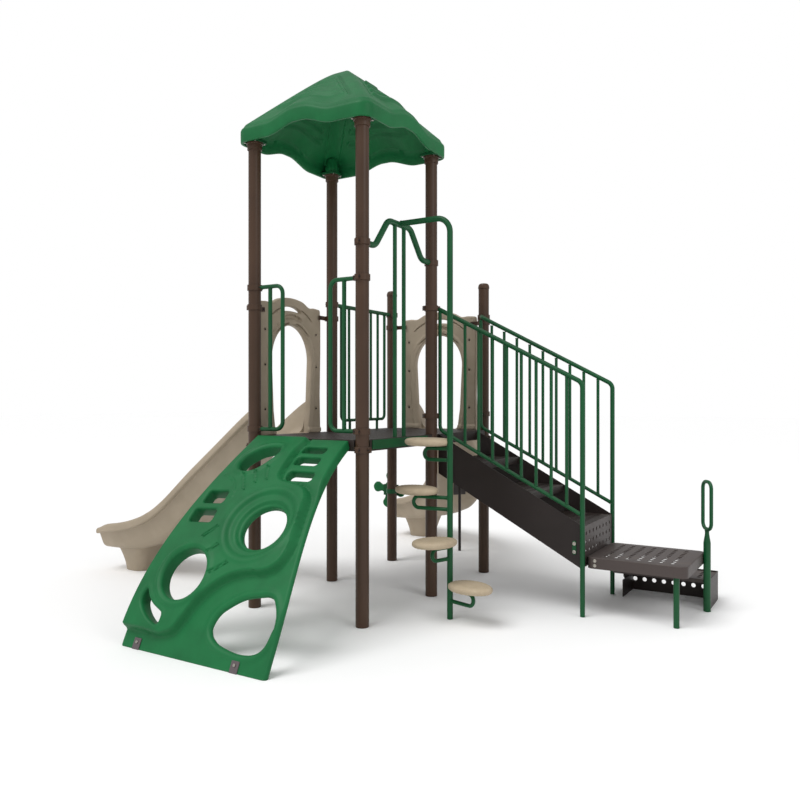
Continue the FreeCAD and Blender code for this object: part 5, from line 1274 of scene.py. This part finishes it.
shares = np.concatenate([[0.0], np.linspace(0.02, 0.96, 92)])
top_rows = roof_rows(shares, eave_line, 0.0)
turn = np.linspace(0, math.pi / 2, 7)[1:]
rim_drop = 28.0
edge = np.stack([lying(shifted(eave_line, 20 * math.sin(a) - 20) + middle, EAVE + FASCIA + wave(eave_line)
                       - rim_drop * (1 - math.cos(a))) for a in turn])
hem = ((0, 50), (1, 6), (3, 1.5), (7, 0), (17, 0), (21, 1.5), (23, 6), (24, 60))
wall_rows = np.stack([lying(shifted(eave_line, -gap) + middle, EAVE + wave(eave_line) + z) for gap, z in hem])
inner_shares = np.concatenate([np.linspace(0.955, 0.02, 84), [0.0]])
inner_rows = roof_rows(inner_shares, eave_line, ROOF_SKIN, under=True)
parts = [skin(np.concatenate([top_rows, edge, wall_rows, inner_rows]))]
pad = rounded([(0, EAVE), (52, EAVE), (56, EAVE + 60), (40, EAVE + 140), (0, EAVE + 150)],
              [0, 4, 60, 10, 0], 7)
parts += [lathe(pad, (x, y, 0)) for x in (0, BAY) for y in (0, BAY)]
fit(build("roof_canopy_shell", parts, green_plastic, 50), "plastic_green", "roof_canopy")


# ---- Activity wheel -------------------------------------------------------------------------
# Four-lobed hand wheel under the landing, the one moving part. It turns on the fixed axle; each
# lobe has a dished face and the hub stands a little proud.
low, high = corners_of("activity_wheel")
wheel_spot = np.array([(low[0] + high[0]) / 2, low[1], (low[2] + high[2]) / 2])
AXLE_BORE, WHEEL_THICK, HUB_R, WHEEL_TILT = 10.08, 28.0, 30.0, math.radians(8)
lobe = np.array([(60, -32), (84, -32), (100, -39), (122, -48), (152, -39), (172, 0), (152, 39), (122, 48),
                 (100, 39), (84, 32), (60, 32)], float)
outline = []
for i in range(4):
    a = i * math.pi / 2
    outline.append(lobe @ np.array([[math.cos(a), math.sin(a)], [-math.sin(a), math.cos(a)]]))
wheel_outline = curve(np.vstack(outline), 6)


def wheel_place(flat, height):
    """Front of the wheel to +Y, turned by its resting tilt about the axle."""
    c, s = math.cos(WHEEL_TILT), math.sin(WHEEL_TILT)
    x, z = flat[:, 0] * c - flat[:, 1] * s, -(flat[:, 0] * s + flat[:, 1] * c)
    return np.column_stack([x, height, z]) + wheel_spot


def wheel_front(flat, d):
    """The wheel's face: a dish in each lobe and a rounded rim."""
    near = np.min([np.hypot(flat[:, 0] - 124 * math.cos(a), flat[:, 1] - 124 * math.sin(a))
                   for a in np.arange(4) * math.pi / 2], axis=0)
    return WHEEL_THICK - edge_round(d, 9.0) - 5 * (1 - smooth(near, 20, 30))


wheel_points, *wheel_faces = panel(wheel_outline, [circle(0, 0, HUB_R - 3, 60)], 7.0, wheel_front,
                                   lambda flat, d: edge_round(d, 9.0), wheel_place, rims=(1.2, 3, 6))
profile = rounded(rectangle(AXLE_BORE, HUB_R, 0, WHEEL_THICK + 8), [1, 3, 4, 1], 6, closed=True)
a = turns(72)
hub = np.stack([profile[:, :1] * np.cos(a), profile[:, 1:] + 0 * a, profile[:, :1] * np.sin(a)], -1)
parts = [(wheel_points, *wheel_faces), skin(hub + wheel_spot, along=True)]
wheel = build("activity_wheel_moulding", parts, green_plastic, 45)
fit(wheel, "plastic_green", "activity_wheel", body="wheel")
